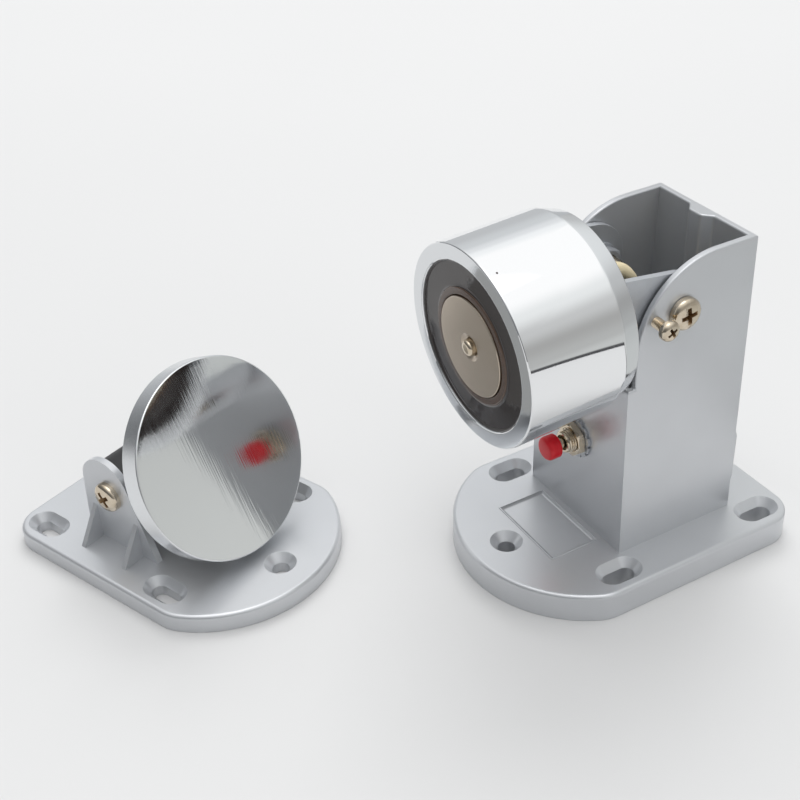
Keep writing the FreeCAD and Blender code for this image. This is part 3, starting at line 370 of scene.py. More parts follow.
# Metal with the fine rings that a lathe leaves round the magnet's axis
def makeTurnedMetal(name, colour, groove, height, low, high):
    material, tree, shader = newMaterial(name, colour, metallic=1.0, roughness=(low + high) / 2)
    split = addNode(tree, "ShaderNodeSeparateXYZ", links={"Vector": pieceSpace(tree, magnetSpace)})
    flatSpace = addNode(tree, "ShaderNodeCombineXYZ", links={"X": split.outputs["X"], "Z": split.outputs["Z"]})
    radius = addNode(tree, "ShaderNodeVectorMath", links={0: flatSpace.outputs["Vector"]}, operation="LENGTH")
    rings = addNode(tree, "ShaderNodeTexNoise", {"Scale": 1 / (groove * mm), "Detail": 2.0},
                    {"W": radius.outputs["Value"]}, noise_dimensions="1D")
    addRelief(tree, shader, rings.outputs["Fac"], height, low, high)
    return material


# A finish with fine grain, of one colour or drifting between two over patches of a real size
def makeFinish(name, colour, grain, height, low, high, dark=None, patch=None, detail=3.0, **values):
    material, tree, shader = newMaterial(name, colour, roughness=(low + high) / 2, **values)
    if dark:
        addTint(tree, shader, pieceSpace(tree), patch, dark, colour)
    addGrain(tree, shader, pieceSpace(tree), grain, height, low, high, detail)
    return material


# Grooves are really about 0.05 mm apart, and are drawn 0.3 mm apart so that they show
satinChrome = makeTurnedMetal("satinChromeFace", "#e2e4e6", groove=0.3, height=0.0008, low=0.06, high=0.1)
coreNickel = makeTurnedMetal("dullNickelCore", "#baae9f", groove=0.35, height=0.00025, low=0.24, high=0.28)

# Chromed disc, finely brushed up and down before plating: its scratches are drawn 0.55 mm apart so that they show
brushing = {"apart": 0.55, "deep": 1.0, "along": 35.0, "height": 0.011, "smooth": 0.035, "dull": 0.11}
discChrome, tree, shader = newMaterial("brushedChromeDisc", "#ebecec", metallic=1.0, roughness=0.1)
scratchScale = [1 / (brushing[key] * mm) for key in ("apart", "deep", "along")]
streakSpace = addNode(tree, "ShaderNodeMapping", {"Scale": scratchScale},
                      {"Vector": pieceSpace(tree, swivelSpace)})
streaks = addNode(tree, "ShaderNodeTexNoise", {"Scale": 1.0, "Detail": 2.0},
                  {"Vector": streakSpace.outputs["Vector"]})
addRelief(tree, shader, streaks.outputs["Fac"], brushing["height"], brushing["smooth"], brushing["dull"])

# Disc's rim: the same plate over a plainer turned edge
discRim = makeFinish("satinChromeRim", "#e2e4e6", grain=0.6, height=0.0008, low=0.2, high=0.28, metallic=1.0)

# Warm nickel plate on screws, nut and bush: bright, a little yellow, slightly uneven
nickelPlate = makeFinish("warmNickelPlate", "#e2d8c8", dark="#bfae94", patch=2.0, grain=1.3, height=0.03,
                         low=0.07, high=0.18, metallic=1.0)

# Inside of a cross recess: painted shade, a darker brown metal colour that stands in for the shade deep in the
# recess
recessPaintedShade = makeFinish("nickelRecessPaintedShade", "#a68c6c", grain=0.4, height=0.01, low=0.4, high=0.6,
                           metallic=1.0)

# Clear zinc plate on pressed steel: bluish grey, with soft clouding
zincPlate = makeFinish("clearZincPlate", "#cccfd3", dark="#b8bbc0", patch=6.0, grain=0.6, height=0.006,
                       low=0.42, high=0.58, metallic=0.8)

# Hard-drawn spring wire: bare grey steel with faint drawing marks
springSteel = makeFinish("drawnSpringSteel", "#8f9093", grain=0.5, height=0.003, low=0.22, high=0.4,
                         metallic=1.0)

# Poured resin: nearly black brown, glossy, with a slightly uneven skin
pottingResin = makeFinish("pouredResin", "#2b2321", grain=4.0, height=0.03, low=0.03, high=0.09, detail=1.5,
                          IOR=1.54)

# Dark brown phenolic bobbin: glossy moulding
brownPhenolic = makeFinish("brownPhenolicBobbin", "#5a4130", dark="#3d291d", patch=2.5, grain=0.5,
                           height=0.004, low=0.1, high=0.22, IOR=1.6)

# Black glass-filled nylon: matt, fine spark-eroded grain from the mould
blackNylon = makeFinish("blackNylon", "#1c1c1d", grain=0.25, height=0.01, low=0.42, high=0.6, IOR=1.53)

# Black rubber of the grommet and the buffer: matt, moulded
blackRubber = makeFinish("blackRubber", "#171717", grain=0.4, height=0.012, low=0.6, high=0.8, IOR=1.52)

# Red polystyrene cap: moulding of a soft gloss, with faint flow marks
redCap = makeFinish("redMouldedCap", "#de051e", dark="#c80017", patch=2.0, grain=0.4, height=0.006,
                    low=0.28, high=0.42, IOR=1.5)

# Cream PVC sheath: soft sheen from the extruder
creamSheath = makeFinish("creamPvc", "#dfd3b4", dark="#d3c49e", patch=5.0, grain=0.9, height=0.015,
                         low=0.36, high=0.5, IOR=1.53)

# Off-white polyamide of the terminal block
terminalPlastic = makeFinish("offWhitePolyamide", "#dedbd2", grain=0.4, height=0.01, low=0.4, high=0.55,
                             IOR=1.53)

# Tinned brass of the switch's tags
tinnedBrass = makeFinish("tinnedBrass", "#c9b37c", grain=0.5, height=0.004, low=0.22, high=0.4, metallic=1.0)

# Enamelled copper wire in even turns; a wave texture repeats every pi / 10 of its scale
winding = {"wire": 0.5, "height": 0.1, "wander": 0.4}
copperWinding, tree, shader = newMaterial("enamelledCopper", "#9a4a22", metallic=1.0, roughness=0.35)
turns = addNode(tree, "ShaderNodeTexWave",
                {"Scale": math.pi / 10 / (winding["wire"] * mm), "Distortion": winding["wander"]},
                {"Vector": pieceSpace(tree, magnetSpace)}, bands_direction="Y")
bump = addNode(tree, "ShaderNodeBump", {"Distance": winding["height"] * mm}, {"Height": turns.outputs["Fac"]})
tree.links.new(bump.outputs["Normal"], shader.inputs["Normal"])
setMaterials(nodes["coil_winding"], copperWinding)  # its plain solid stays, inside the assembly
print("materials made")


# Castings, pressings and mouldings, with the soft edges that the die, the press and the mould leave
softened = {
    "magnet_base": ("magnetUnitCasting", 0.45, paintedCasting, "bases", "casting"),
    "strike_base": ("strikeUnitCasting", 0.45, paintedCasting, "bases", "casting"),
    "rear_cover": ("columnRearCover", 0.35, paintedCasting, "bases", "casting"),
    "cable_grommet": ("cableGrommet", 0.5, blackRubber, "bases", "rubber"),
    "yoke_bracket": ("magnetYoke", 0.25, zincPlate, "magnet", "zinc_plate"),
    "yoke_washer": ("yokeBoltWasher", 0.15, zincPlate, "magnet", "zinc_plate"),
    "pivot_washers": ("pivotWashers", 0.15, zincPlate, "bases", "zinc_plate"),
    "switch_body": ("switchBody", 0.4, blackNylon, "bases", "bobbin"),
    "switch_tags": ("switchTags", 0.12, tinnedBrass, "bases", "brass"),
    "terminal_block": ("terminalBlock", 0.4, terminalPlastic, "bases", "terminal"),
    "terminal_screws": ("terminalScrews", 0.12, nickelPlate, "bases", "nickel"),
    "swivel_block": ("discSwivelBlock", 0.5, blackNylon, "strike", "bobbin"),
    "buffer_washer": ("rubberBufferWasher", 0.5, blackRubber, "strike", "rubber"),
    "disc_bolt": ("discSocketBolt", 0.3, zincPlate, "strike", "zinc_plate"),
}
for node, (name, edge, material, body, slot) in softened.items():
    dress(softenNode(node, name, edge), material, body, slot, node)

# Fine raised lip of the casting round its bare label recess, sunk a little into the plate
lip = {"across": 25.4, "along": 14.4, "middle": 14.1, "apart": 0.3, "wide": 0.45, "foot": 8.4, "top": 8.86,
       "edge": 0.14}
inner, outer = 2 * lip["apart"], 2 * (lip["apart"] + lip["wide"])
tall, middle = lip["top"] - lip["foot"], (0, lip["middle"], (lip["top"] + lip["foot"]) / 2)
labelLip = boxPiece("labelRecessLip", (lip["across"] + outer, lip["along"] + outer, tall), middle)
cutPiece(labelLip, boxPiece("lipOpening", (lip["across"] + inner, lip["along"] + inner, tall * 2), middle))
dress(smoothPiece(bevelPiece(labelLip, lip["edge"]), 60), paintedCasting, "bases", "casting")
print("castings and mouldings softened")

# Springs: softened copies of their solids in spring steel, each listed with the piece that presses it, its body,
# place, and where it is pressed and seated
springs = {
    "eject_spring": ("ejectSpring", "eject_pin", "magnet", magnetPlace, (0, 0, 44.1), (0, 0, 38.1)),
    "button_spring": ("buttonSpring", "button", "bases", moved(0, 0, 0), (0, 28.3, 36.0), (0, 34.3, 36.0)),
}
for node, (name, moving, fixed, place, pressed, seat) in springs.items():
    coil = softenNode(node, name)
    setMaterials(coil, springSteel)
    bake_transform(coil)
    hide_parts(node)
print("springs made")


# Magnet shell: outside of the pot with its tapered rear, front rim and bore
shell = {"radius": 27.5, "rear": 18.7, "length": 33.0, "taperLength": 5.4, "taperDepth": 1.8, "bore": 22.9,
         "back": 7.0, "hole": 3.0, "edge": 0.5, "segments": 256}
front = shell["rear"] + shell["length"]
taperEnd, boreFloor = shell["rear"] + shell["taperLength"], shell["rear"] + shell["back"]
magnetShell = turnPiece("magnetShell", [
    (shell["hole"], shell["rear"]), (shell["radius"] - shell["taperDepth"], shell["rear"]),
    (shell["radius"], taperEnd), (shell["radius"], front), (shell["bore"], front),
    (shell["bore"], boreFloor), (shell["hole"], boreFloor)], shell["segments"], hollow=True)
bevelPiece(magnetShell, shell["edge"], 4, 10)
leadHole = {"across": 11.5, "up": 15.3, "radius": 1.9, "spare": 2.0}
drill = turnPiece("leadHole", [(leadHole["radius"], shell["rear"] - leadHole["spare"]),
                               (leadHole["radius"], boreFloor + leadHole["spare"])], 32)
cutPiece(magnetShell, placePiece(drill, moved(leadHole["across"], leadHole["up"], 0)))
setMaterials(magnetShell, chromeMirror, satinChrome)
for face in magnetShell.data.polygons:  # satin on the front ring, the tapered rear and the inside
    height, radius = face.center.z / mm, math.hypot(face.center.x, face.center.y) / mm
    satin = height > front - 0.02 or height < taperEnd - 0.1 or radius < shell["bore"] + 0.1
    face.material_index = 1 if satin else 0
placePiece(smoothPiece(magnetShell, 20), magnetPlace)
dress(magnetShell, None, "magnet", "chrome", "magnet_pot")

# Core face with its dimple for the eject pin
core = {"radius": 13.6, "edge": 0.4, "dimple": 3.8, "dimpleDepth": 0.8, "bore": 2.25, "boreDepth": 13.6,
        "back": 26.0}
coreFront = turnPiece("magnetCoreFace", [
    (core["radius"], front - core["back"]), (core["radius"], front), (core["dimple"], front),
    (core["bore"], front - core["dimpleDepth"]), (core["bore"], front - core["boreDepth"])], 160)
bevelPiece(coreFront, core["edge"])
placePiece(smoothPiece(coreFront, 25), magnetPlace)
dress(coreFront, coreNickel, "magnet", "core", "magnet_core")

# Eject pin with its rounded nose
pin = {"radius": 2.2, "proud": 1.4, "length": 9.0, "nose": 1.1, "blunt": 0.6,
       "noseAngles": (0, 18, 36, 52, 66, 78, 86)}
tip = front + pin["proud"]
pinProfile = [(pin["radius"], tip - pin["length"])] + [
    (pin["radius"] * math.cos(angle) ** pin["blunt"], tip - pin["nose"] + pin["nose"] * math.sin(angle))
    for angle in map(math.radians, pin["noseAngles"])]
ejectPin = turnPiece("ejectPin", pinProfile, 64)
placePiece(smoothPiece(ejectPin, 40), magnetPlace)
dress(ejectPin, nickelPlate, "eject_pin", "core", "eject_pin")

# Bobbin: two flanges, the drum between them, and the collar round the core with its notch
bobbin = {"inner": 13.7, "drum": 14.7, "rim": 22.8, "rear": 25.7, "flange": 1.2, "flangeFront": 47.5,
          "collar": 15.9, "recess": 0.4, "edge": 0.45, "notchFrom": 27.0, "notchTo": 58.0,
          "notchReach": 20.0, "notchTall": 6.0}
collarFront = front - bobbin["recess"]
drumRear, drumFront = bobbin["rear"] + bobbin["flange"], bobbin["flangeFront"] - bobbin["flange"]
coilBobbin = turnPiece("coilBobbin", [
    (bobbin["inner"], bobbin["rear"]), (bobbin["rim"], bobbin["rear"]), (bobbin["rim"], drumRear),
    (bobbin["drum"], drumRear), (bobbin["drum"], drumFront), (bobbin["rim"], drumFront),
    (bobbin["rim"], bobbin["flangeFront"]), (bobbin["collar"], bobbin["flangeFront"]),
    (bobbin["collar"], collarFront), (bobbin["inner"], collarFront)], 160, hollow=True)
bevelPiece(coilBobbin, bobbin["edge"], 4, 40)
wedge = drawLine("collarNotch", [(0, 0, bobbin["flangeFront"])] + [
    (bobbin["notchReach"] * math.cos(side), bobbin["notchReach"] * math.sin(side), bobbin["flangeFront"])
    for side in (math.radians(bobbin["notchFrom"]), math.radians(bobbin["notchTo"]))])
bpy.ops.mesh.select_all(action="SELECT")
bpy.ops.mesh.edge_face_add()
bpy.ops.mesh.extrude_region_move(TRANSFORM_OT_translate={"value": (0, 0, bobbin["notchTall"] * mm)})
closePiece()
cutPiece(coilBobbin, wedge)
placePiece(smoothPiece(coilBobbin, 35), magnetPlace)
dress(coilBobbin, brownPhenolic, "magnet", "bobbin", "coil_bobbin")

# Resin ring: it creeps up a little at the shell and at the collar, as (distance from the wall, height)
resin = {"inner": 15.9, "outer": 22.9, "level": 1.0, "floor": 4.2,
         "atShell": [(0.0, 0.35), (0.25, 0.12), (0.8, 0.0)],
         "atCollar": [(0.8, 0.0), (0.25, 0.1), (0.0, 0.28)]}
level = front - resin["level"]
resinRing = turnPiece("pottedResinRing", [
    (resin["inner"], front - resin["floor"]), (resin["outer"], front - resin["floor"]),
    *((resin["outer"] - away, level + up) for away, up in resin["atShell"]),
    *((resin["inner"] + away, level + up) for away, up in resin["atCollar"])], 160, hollow=True)
placePiece(smoothPiece(resinRing, 60), magnetPlace)
dress(resinRing, pottingResin, "magnet", "resin", "potting_resin")

# Strike disc with its blind hole, slightly dished and brushed face, and plainer rim
disc = {"radius": 28.75, "rear": 22.8, "thickness": 6.7, "edge": 0.45, "hole": 3.0, "holeDepth": 4.5,
        "dish": 0.6, "rings": 14, "segments": 256}
discFront = disc["rear"] + disc["thickness"]
faceRings = []
for ring in range(disc["rings"], 0, -1):
    share = ring / disc["rings"]
    faceRings.append((disc["radius"] * ring / disc["rings"], discFront - disc["dish"] * (1 - share ** 2)))
strikeDisc = turnPiece("strikeDisc", [
    (disc["hole"], disc["rear"] + disc["holeDepth"]), (disc["hole"], disc["rear"]),
    (disc["radius"], disc["rear"]), *faceRings], disc["segments"])
bevelPiece(strikeDisc, disc["edge"], 4)
setMaterials(strikeDisc, discChrome, discRim)
for face in strikeDisc.data.polygons:  # brushed where it faces forwards, plainer on the rim and the back
    face.material_index = 0 if face.normal.z > 0.98 and face.center.z / mm > discFront - 1 else 1
placePiece(smoothPiece(strikeDisc, 25), swivelPlace)
dress(strikeDisc, None, "strike", "chrome", "strike_disc")
print("magnet and disc turned")


# Thread: one turn's outline is carried round and up the axis, then cut off square at both ends
threadForm = {"depth": 0.6, "flank": 0.42, "crest": 0.1, "root": 0.06}  # shares of the pitch


def threadPiece(name, radius, pitch, low, high, steps=32):
    depth = threadForm["depth"] * pitch
    outline = [(radius - depth, 0, low - pitch)]
    for outward, part in ((depth, "flank"), (0, "crest"), (-depth, "flank"), (0, "root")):
        outline.append((outline[-1][0] + outward, 0, outline[-1][2] + threadForm[part] * pitch))
    piece = drawLine(name, outline)
    applyModifier(piece, "SCREW", axis="Z", screw_offset=pitch * mm, steps=steps, render_steps=steps,
                  iterations=math.ceil((high - low) / pitch) + 2)
    bpy.ops.object.mode_set(mode="EDIT")
    bpy.ops.mesh.select_all(action="SELECT")
    bpy.ops.mesh.remove_doubles(threshold=1e-6)
    for end, side in ((low, "clear_inner"), (high, "clear_outer")):
        bpy.ops.mesh.select_all(action="SELECT")
        bpy.ops.mesh.bisect(plane_co=(0, 0, end * mm), plane_no=(0, 0, 1), use_fill=True, **{side: True})
    closePiece()
    return piece


# Pan head as shares of its radius and height, and its cross recess as shares of its width and height: the
# thread ends at the neck, and from there to the brim the recess is painted darker, as painted shade
panDome = [(1.0, 0.0), (1.0, 0.36), (0.985, 0.5), (0.93, 0.68), (0.82, 0.83), (0.64, 0.94), (0.4, 0.99),
           (0.12, 1.0)]
crossRecess = {"across": 0.68, "wide": 0.17, "deep": 0.66, "foot": 0.5, "neck": 0.2, "brim": 0.9}


# Pan-head screw with a tapered cross recess: the head's underside is at 0, its top towards +Z, the thread below
def panScrew(name, size):
    head, tall = size["head"], size["tall"]
    piece = turnPiece(name, [(head / 2 * across, tall * up) for across, up in panDome], 64)
    across, wide, deep = head * crossRecess["across"], head * crossRecess["wide"], tall * crossRecess["deep"]
    neck, brim = tall * crossRecess["neck"], tall * crossRecess["brim"]
    for angle in (0, 90):
        arm = boxPiece("recessArm", (across, wide, deep + 1), (0, 0, tall + (1 - deep) / 2))
        placePiece(arm, turned(z=angle))
        selectWhere(arm, lambda place: place.z < tall * mm)  # its foot is narrower than its mouth
        bpy.ops.transform.resize(value=(crossRecess["foot"], crossRecess["foot"], 1),
                                 center_override=(0, 0, 0))
        bpy.ops.object.mode_set(mode="OBJECT")
        cutPiece(piece, arm)
    setMaterials(piece, nickelPlate, recessPaintedShade)
    # faces inside the cross, from the neck to the brim, get the painted shade colour
    for face in piece.data.polygons:
        inside = math.hypot(face.center.x, face.center.y) / mm < across / 2
        face.material_index = 1 if inside and neck < face.center.z / mm < brim else 0
    thread = threadPiece(name + "Thread", size["thread"] / 2, size["pitch"], -size["length"], neck)
    setMaterials(thread, nickelPlate)
    return smoothPiece(joinPieces(piece, thread), 32)


# Hexagonal nut or bolt head as shares of its flats and corners, with the countersink of its bore in millimetres
hexForm = {"face": 0.475, "reach": 1.03, "slope": 30, "sinkWide": 0.35, "sinkDeep": 0.4}


# Hexagonal nut or bolt head with its corners chamfered, and a bore where one is given
def hexPiece(name, flats, low, high, bore=0.0):
    corner = flats / math.sqrt(3)
    startPiece()
    bpy.ops.mesh.primitive_cylinder_add(vertices=6, radius=corner * mm, depth=(high - low) * mm,
                                        location=(0, 0, (low + high) / 2 * mm))
    piece = nameNew(name)
    face, wide = flats * hexForm["face"], corner * hexForm["reach"]
    drop = (wide - face) * math.tan(math.radians(hexForm["slope"]))
    drum = turnPiece("chamferDrum", [
        (face, low - 0.001), (wide, low + drop), (wide, high - drop), (face, high + 0.001)], 96)
    cutPiece(piece, drum, "INTERSECT")
    if bore:
        wall, mouth = bore / 2, bore / 2 + hexForm["sinkWide"]
        cutPiece(piece, turnPiece("bore", [
            (mouth, low - 0.01), (wall, low + hexForm["sinkDeep"]),
            (wall, high - hexForm["sinkDeep"]), (mouth, high + 0.01)], 64))
    return smoothPiece(piece, 25)


# Screws: one pivot screw serves the column's cheeks and the ears of the strike unit
pivotScrew = {"head": 9.1, "tall": 2.6, "thread": 5.0, "pitch": 0.8, "length": 12.0}
lockScrew = {"head": 5.6, "tall": 2.2, "thread": 3.0, "pitch": 0.5, "length": 6.0, "at": (23.93, 31.2, 80.5)}
coverScrew = {"head": 4.6, "tall": 1.4, "thread": 2.5, "pitch": 0.45, "length": 4.3, "at": (15.0, 65.3, 25.0)}
blockScrew = {"head": 5.4, "tall": 2.1, "thread": 3.0, "pitch": 0.5, "length": 10.0, "at": (0.0, 52.0, 47.5)}
cheekAtHead, earHalf = 19.634, 20.7
rightOut, leftOut, frontOut, rearOut = turned(y=90), turned(y=-90), turned(x=90), turned(x=-90)
pivotLine, earLine = places["pivot"][1:], places["earPivot"][1:]
pivotMaster = panScrew("pivotScrewRight", pivotScrew)
screwPlaces = {  # the last turn is how the screw's cross happens to stand
    "pivotScrewLeft": ("pivot_screw_left", moved(-cheekAtHead, *pivotLine) @ leftOut @ turned(z=20)),
    "earScrewLeft": ("ear_screw_left", strikePlace @ moved(-earHalf, *earLine) @ leftOut @ turned(z=35)),
    "earScrewRight": ("ear_screw_right", strikePlace @ moved(earHalf, *earLine) @ rightOut @ turned(z=12)),
}
for name, (node, place) in screwPlaces.items():
    dress(placePiece(copyPiece(pivotMaster, name), place), None, "bases", "nickel", node)
placePiece(pivotMaster, moved(cheekAtHead, *pivotLine) @ rightOut @ turned(z=8))
dress(pivotMaster, None, "bases", "nickel", "pivot_screw_right")
locking = panScrew("lockingScrew", lockScrew)
placePiece(locking, moved(*lockScrew["at"]) @ rightOut @ turned(z=30))
dress(locking, None, "bases", "nickel", "locking_screw")
coverPair = panScrew("rearCoverScrews", coverScrew)
coverTwin = copyPiece(coverPair, "coverScrewTwin")
across, *behind = coverScrew["at"]
placePiece(coverPair, moved(-across, *behind) @ rearOut @ turned(z=15))
placePiece(coverTwin, moved(across, *behind) @ rearOut @ turned(z=50))
dress(joinPieces(coverPair, coverTwin), None, "bases", "nickel", "rear_cover_screws")
fixing = panScrew("terminalFixingScrew", blockScrew)
placePiece(fixing, moved(*blockScrew["at"]) @ frontOut @ turned(z=40))
dress(fixing, None, "bases", "nickel", "terminal_fixing_screw")

# Nuts inside the cheeks
pivotNut = {"flats": 8.0, "low": 10.97, "high": 14.17, "bore": 4.9}
nutPair = hexPiece("pivotNuts", **pivotNut)
nutTwin = copyPiece(nutPair, "pivotNutTwin")
placePiece(nutPair, moved(0, *pivotLine) @ rightOut @ turned(z=10))
placePiece(nutTwin, moved(0, *pivotLine) @ leftOut @ turned(z=25))
dress(joinPieces(nutPair, nutTwin), zincPlate, "bases", "zinc_plate", "pivot_nuts")

# Bolt that holds the magnet on its yoke
boltSize = {"head": {"flats": 10.0, "low": 12.1, "high": 16.1},
            "thread": {"radius": 3.0, "pitch": 1.0, "low": 15.9, "high": 32.9}}
yokeBolt = hexPiece("yokeBolt", **boltSize["head"])
joinPieces(yokeBolt, threadPiece("yokeBoltThread", **boltSize["thread"]))
placePiece(smoothPiece(yokeBolt, 30), magnetPlace)
dress(yokeBolt, zincPlate, "magnet", "zinc_plate", "yoke_bolt")
print("screws and nuts made")


# Release button, modelled from the column's face outwards; its profiles are lists of (radius, height)
button = {
    "cap": [(3.25, 7.5), (3.46, 7.7), (3.5, 10.4), (3.38, 10.78), (3.16, 11.1), (2.86, 11.31), (2.5, 11.4),
            (0.4, 11.4)],
    "stem": [(2.2, -4.7), (2.2, -3.5), (1.5, -3.5), (1.5, 5.5), (1.25, 5.7), (1.25, 6.4), (1.5, 6.6), (1.5, 9.4)],
    "nose": [(1.6, 2.8), (2.9, 2.8), (3.1, 5.05), (2.85, 5.3), (2.3, 5.3), (2.15, 3.7), (1.6, 3.7)],
    "way": [(1.6, -3.0), (1.6, 8.0)],
    "bush": {"radius": 3.4, "pitch": 0.75, "low": -2.0, "high": 4.7},
    "nut": {"flats": 9.2, "low": 0.8, "high": 3.0, "bore": 6.6},
}
buttonCap = turnPiece("buttonCap", button["cap"])
placePiece(smoothPiece(buttonCap, 50), buttonPlace)
dress(buttonCap, redCap, "button", "red_cap", "button_cap")
buttonStem = turnPiece("buttonStem", button["stem"], 48)
placePiece(smoothPiece(buttonStem, 30), buttonPlace)
dress(buttonStem, nickelPlate, "button", "nickel", "button_stem")
bush = threadPiece("switchBush", **button["bush"])
cutPiece(bush, turnPiece("stemWay", button["way"], 48))
nose = turnPiece("bushNose", button["nose"], 64, hollow=True)
placePiece(smoothPiece(joinPieces(bush, nose), 30), buttonPlace)
dress(bush, nickelPlate, "bases", "nickel", "switch_bush")
switchNut = hexPiece("switchNut", **button["nut"])
placePiece(switchNut, buttonPlace @ turned(z=12))
dress(switchNut, nickelPlate, "bases", "nickel", "switch_nut")

# Toothed lock washer: a ring with gaps cut between the teeth of its outer edge
washer = {"inner": 3.45, "outer": 6.0, "tall": 0.8, "edge": 0.12, "teeth": 12, "gap": (1.3, 0.8, 3.0)}
lockWasher = turnPiece("toothedLockWasher", [
    (washer["inner"], 0.0), (washer["outer"], 0.0), (washer["outer"], washer["tall"]),
    (washer["inner"], washer["tall"])], hollow=True)
for tooth in range(washer["teeth"]):
    gap = boxPiece("toothGap", washer["gap"], (washer["outer"], 0, washer["tall"] / 2))
    cutPiece(lockWasher, placePiece(gap, turned(z=360 / washer["teeth"] * tooth)))
bevelPiece(lockWasher, washer["edge"], 2, 40)
placePiece(smoothPiece(lockWasher, 30), buttonPlace)
dress(lockWasher, zincPlate, "bases", "nickel", "switch_lock_washer")
print("button made")


# Coil's lead: out of the pot, over the yoke, down beside the pivot and into the terminal block
lead = {"radius": 1.6, "route": [
    (11.5, 15.42, 94.04), (11.5, 21.0, 94.3), (11.5, 24.8, 94.7), (11.5, 29.2, 90.2), (10.6, 31.0, 84.0),
    (9.5, 32.5, 77.0), (7.5, 44.5, 71.5), (6.0, 56.5, 69.5), (6.0, 56.5, 62.0), (6.0, 56.5, 53.0)]}
route = bpy.data.curves.new("coilLead", "CURVE")
route.dimensions = "3D"
route.resolution_u = 24
route.bevel_depth = lead["radius"] * mm
route.bevel_resolution = 6
route.use_fill_caps = True
spline = route.splines.new("NURBS")
spline.points.add(len(lead["route"]) - 1)
for point, place in zip(spline.points, lead["route"]):
    point.co = (*(Vector(place) * mm), 1.0)
spline.order_u = 3
spline.use_endpoint_u = True
coilLead = bpy.data.objects.new("coilLead", route)
bpy.context.scene.collection.objects.link(coilLead)
selectOnly(coilLead)
bpy.ops.object.convert(target="MESH")
coilLead = smoothPiece(bpy.context.object, 50)
setMaterials(coilLead, creamSheath)
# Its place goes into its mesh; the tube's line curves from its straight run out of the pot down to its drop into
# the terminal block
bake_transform(coilLead)
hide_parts("magnet_lead")
print("lead made")


# Camera at the photograph's place
view = {"place": (227.95, -154.08, 247.73), "turn": (55.3674, 2.2998, 60.2481), "lens": 57.2, "sensor": 36.0}
camera = bpy.data.objects.new("photoCamera", bpy.data.cameras.new("photoCamera"))
bpy.context.scene.collection.objects.link(camera)
camera.data.lens = view["lens"]
camera.data.sensor_width = view["sensor"]
camera.data.clip_start = 0.01
camera.location = Vector(view["place"]) * mm
camera.rotation_euler = [math.radians(a) for a in view["turn"]]
bpy.context.scene.camera = camera

# Pale floor that keeps the shadow, a hair under the soles
floor = {"size": 3.0, "sunk": 0.1, "dark": "#d3d3d3", "light": "#d8d8d8", "patch": 400.0}
startPiece()
bpy.ops.mesh.primitive_plane_add(size=floor["size"], location=(0, 0, -floor["sunk"] * mm))
ground = nameNew("studioFloor")
groundMaterial, tree, shader = newMaterial("paleFloor", floor["light"], roughness=0.9)
addTint(tree, shader, pieceSpace(tree), floor["patch"], floor["dark"], floor["light"])
setMaterials(ground, groundMaterial)

# Pale room: white overhead, greyer walls, lighter at the back left and darker in front. The camera sees an even
# background. A wall's colours stand at their angles above the horizon
room = {
    "seen": "#eeeeee", "strength": 1.12, "ceiling": 2.6, "ceilingFrom": 62, "ceilingTo": 82,
    "sides": {"left": {"towards": (-0.87, 0.5, 0.0), "from": -0.3, "to": 0.5},
              "near": {"towards": (0.0, -1.0, 0.0), "from": -0.1, "to": 0.7}},
    "colours": {
        "right": ((-24, "#c8cac9"), (-9, "#c0c2c1"), (-2, "#b2b3b2"), (12, "#a6a6a5"), (27, "#c4c5c5"),
                  (42, "#e8eaea"), (56, "#ffffff")),
        "left": ((-20, "#b8bbbd"), (10, "#bcbec0"), (28, "#cccfd1"), (36, "#dfe1e3"), (42, "#f2f4f5"),
                 (50, "#ffffff")),
        "near": ((-20, "#707274"), (10, "#67696b"), (30, "#7e8082"), (45, "#bcbec0"), (60, "#ffffff"))},
}


# A wall's colours, as a ramp over how far upwards a direction points
def wallColours(tree, upward, side):
    level = addNode(tree, "ShaderNodeMapRange", {"From Min": -1.0}, {"Value": upward})
    ramp = addNode(tree, "ShaderNodeValToRGB", links={"Fac": level.outputs["Result"]})
    ramp.color_ramp.interpolation = "EASE"
    stops, elements = room["colours"][side], ramp.color_ramp.elements
    while len(elements) < len(stops):
        elements.new(0.5)
    for element, (angle, colour) in zip(elements, stops):
        element.position = (math.sin(math.radians(angle)) + 1) / 2
        element.color = linearColour(colour)
    return ramp.outputs["Color"]


world = bpy.data.worlds.new("paleRoom")
bpy.context.scene.world = world
world.use_nodes = True
tree = world.node_tree
direction = addNode(tree, "ShaderNodeTexCoord").outputs["Generated"]
upward = addNode(tree, "ShaderNodeSeparateXYZ", links={"Vector": direction}).outputs["Z"]
walls = wallColours(tree, upward, "right")
for side, reach in room["sides"].items():
    along = addNode(tree, "ShaderNodeVectorMath", {1: reach["towards"]}, {0: direction},
                    operation="DOT_PRODUCT")
    share = addNode(tree, "ShaderNodeMapRange", {"From Min": reach["from"], "From Max": reach["to"]},
                    {"Value": along.outputs["Value"]}, interpolation_type="SMOOTHSTEP")
    mixed = {0: share.outputs["Result"], 6: walls, 7: wallColours(tree, upward, side)}
    walls = addNode(tree, "ShaderNodeMix", links=mixed, data_type="RGBA").outputs[2]
low, high = (math.sin(math.radians(room[key])) for key in ("ceilingFrom", "ceilingTo"))
brightness = {"From Min": low, "From Max": high, "To Min": room["strength"], "To Max": room["ceiling"]}
power = addNode(tree, "ShaderNodeMapRange", brightness, {"Value": upward})
lit = addNode(tree, "ShaderNodeBackground", links={"Color": walls, "Strength": power.outputs["Result"]})
lightPath = addNode(tree, "ShaderNodeLightPath")
seen = addNode(tree, "ShaderNodeMixShader", links={0: lightPath.outputs["Is Camera Ray"], 1: lit.outputs[0]})
background = tree.nodes["Background"]
background.inputs["Color"].default_value = linearColour(room["seen"])
tree.links.new(background.outputs[0], seen.inputs[2])
tree.links.new(seen.outputs[0], tree.nodes["World Output"].inputs["Surface"])

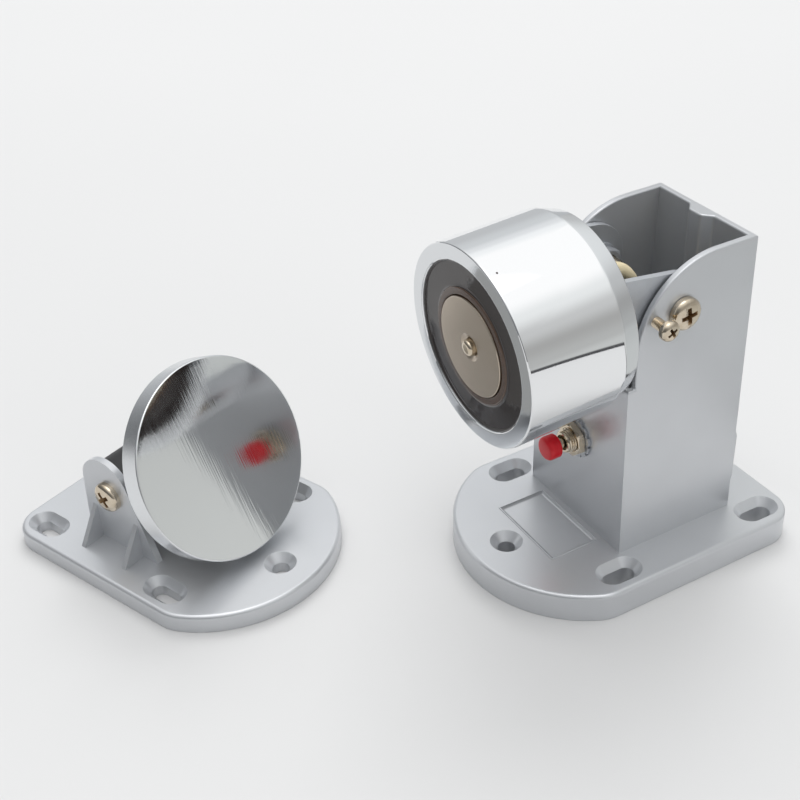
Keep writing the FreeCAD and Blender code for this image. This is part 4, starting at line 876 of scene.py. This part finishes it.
# Card at the right side, seen by the chrome alone: it carries the wall's colours down to a thin dark gap at its
# foot. Both follow the angle from the magnet, whose centre is given in metres
card = {"from": (-60.0, 72.0), "to": (900.0, 348.0), "tall": 320.0, "centre": (0.0, 0.015, 0.08),
        "gapFrom": 0.035, "gapTo": 0.05, "dark": "#4c4c4e"}
first, last = Vector((*card["from"], 0)), Vector((*card["to"], 0))
startPiece()
bpy.ops.mesh.primitive_plane_add(size=1)
greyCard = nameNew("greyCard")
greyCard.scale = ((last - first).length * mm, card["tall"] * mm, 1)
greyCard.rotation_euler = (math.radians(90), 0, math.atan2(last.y - first.y, last.x - first.x))
greyCard.location = ((first + last) / 2 + Vector((0, 0, card["tall"] / 2))) * mm
bpy.ops.object.transform_apply(location=True, rotation=True, scale=True)
cardMaterial = bpy.data.materials.new("greyCardPaper")
cardMaterial.use_nodes = True
tree = cardMaterial.node_tree
tree.nodes.remove(tree.nodes["Principled BSDF"])
seenFrom = addNode(tree, "ShaderNodeVectorMath", {1: card["centre"]}, {0: pieceSpace(tree)},
                   operation="SUBTRACT")
distance = addNode(tree, "ShaderNodeVectorMath", links={0: seenFrom.outputs[0]}, operation="LENGTH")
unit = addNode(tree, "ShaderNodeVectorMath", links={0: seenFrom.outputs[0]}, operation="NORMALIZE")
upward = addNode(tree, "ShaderNodeSeparateXYZ", links={"Vector": unit.outputs[0]}).outputs["Z"]
above = addNode(tree, "ShaderNodeSeparateXYZ", links={"Vector": pieceSpace(tree)}).outputs["Z"]
steep = addNode(tree, "ShaderNodeMath", links={0: above, 1: distance.outputs["Value"]}, operation="DIVIDE")
clear = addNode(tree, "ShaderNodeMapRange", {"From Min": card["gapFrom"], "From Max": card["gapTo"]},
                {"Value": steep.outputs[0]})
mix = addNode(tree, "ShaderNodeMix", {6: linearColour(card["dark"])},
              {0: clear.outputs["Result"], 7: wallColours(tree, upward, "right")}, data_type="RGBA")
paper = addNode(tree, "ShaderNodeEmission", {"Strength": room["strength"]}, {"Color": mix.outputs[2]})
tree.links.new(paper.outputs[0], tree.nodes["Material Output"].inputs["Surface"])
setMaterials(greyCard, cardMaterial)
for kind in ("camera", "diffuse", "shadow", "transmission", "volume_scatter"):
    setattr(greyCard, "visible_" + kind, False)

# Two soft panels shape the shadows; the chrome shows the room and not their outlines
panels = {
    "overheadPanel": {"place": (-1.5, 0.9, 2.3), "aim": (0, 0, 0), "size": (1.6, 1.6), "power": 28.0},
    "rightPanel": {"place": (2.6, 0.9, 1.0), "aim": (0, 0, 0.05), "size": (1.6, 1.2), "power": 7.0},
}
for name, values in panels.items():
    lamp = bpy.data.lights.new(name, "AREA")
    lamp.shape = "RECTANGLE"
    lamp.size, lamp.size_y = values["size"]
    lamp.energy = values["power"]
    panel = bpy.data.objects.new(name, lamp)
    panel.location = values["place"]
    panel.rotation_euler = (Vector(values["aim"]) - Vector(values["place"])).to_track_quat("-Z", "Y").to_euler()
    bpy.context.scene.collection.objects.link(panel)
    panel.visible_camera = panel.visible_glossy = False
bpy.context.scene.view_settings.view_transform = "Standard"
print("camera and light set")
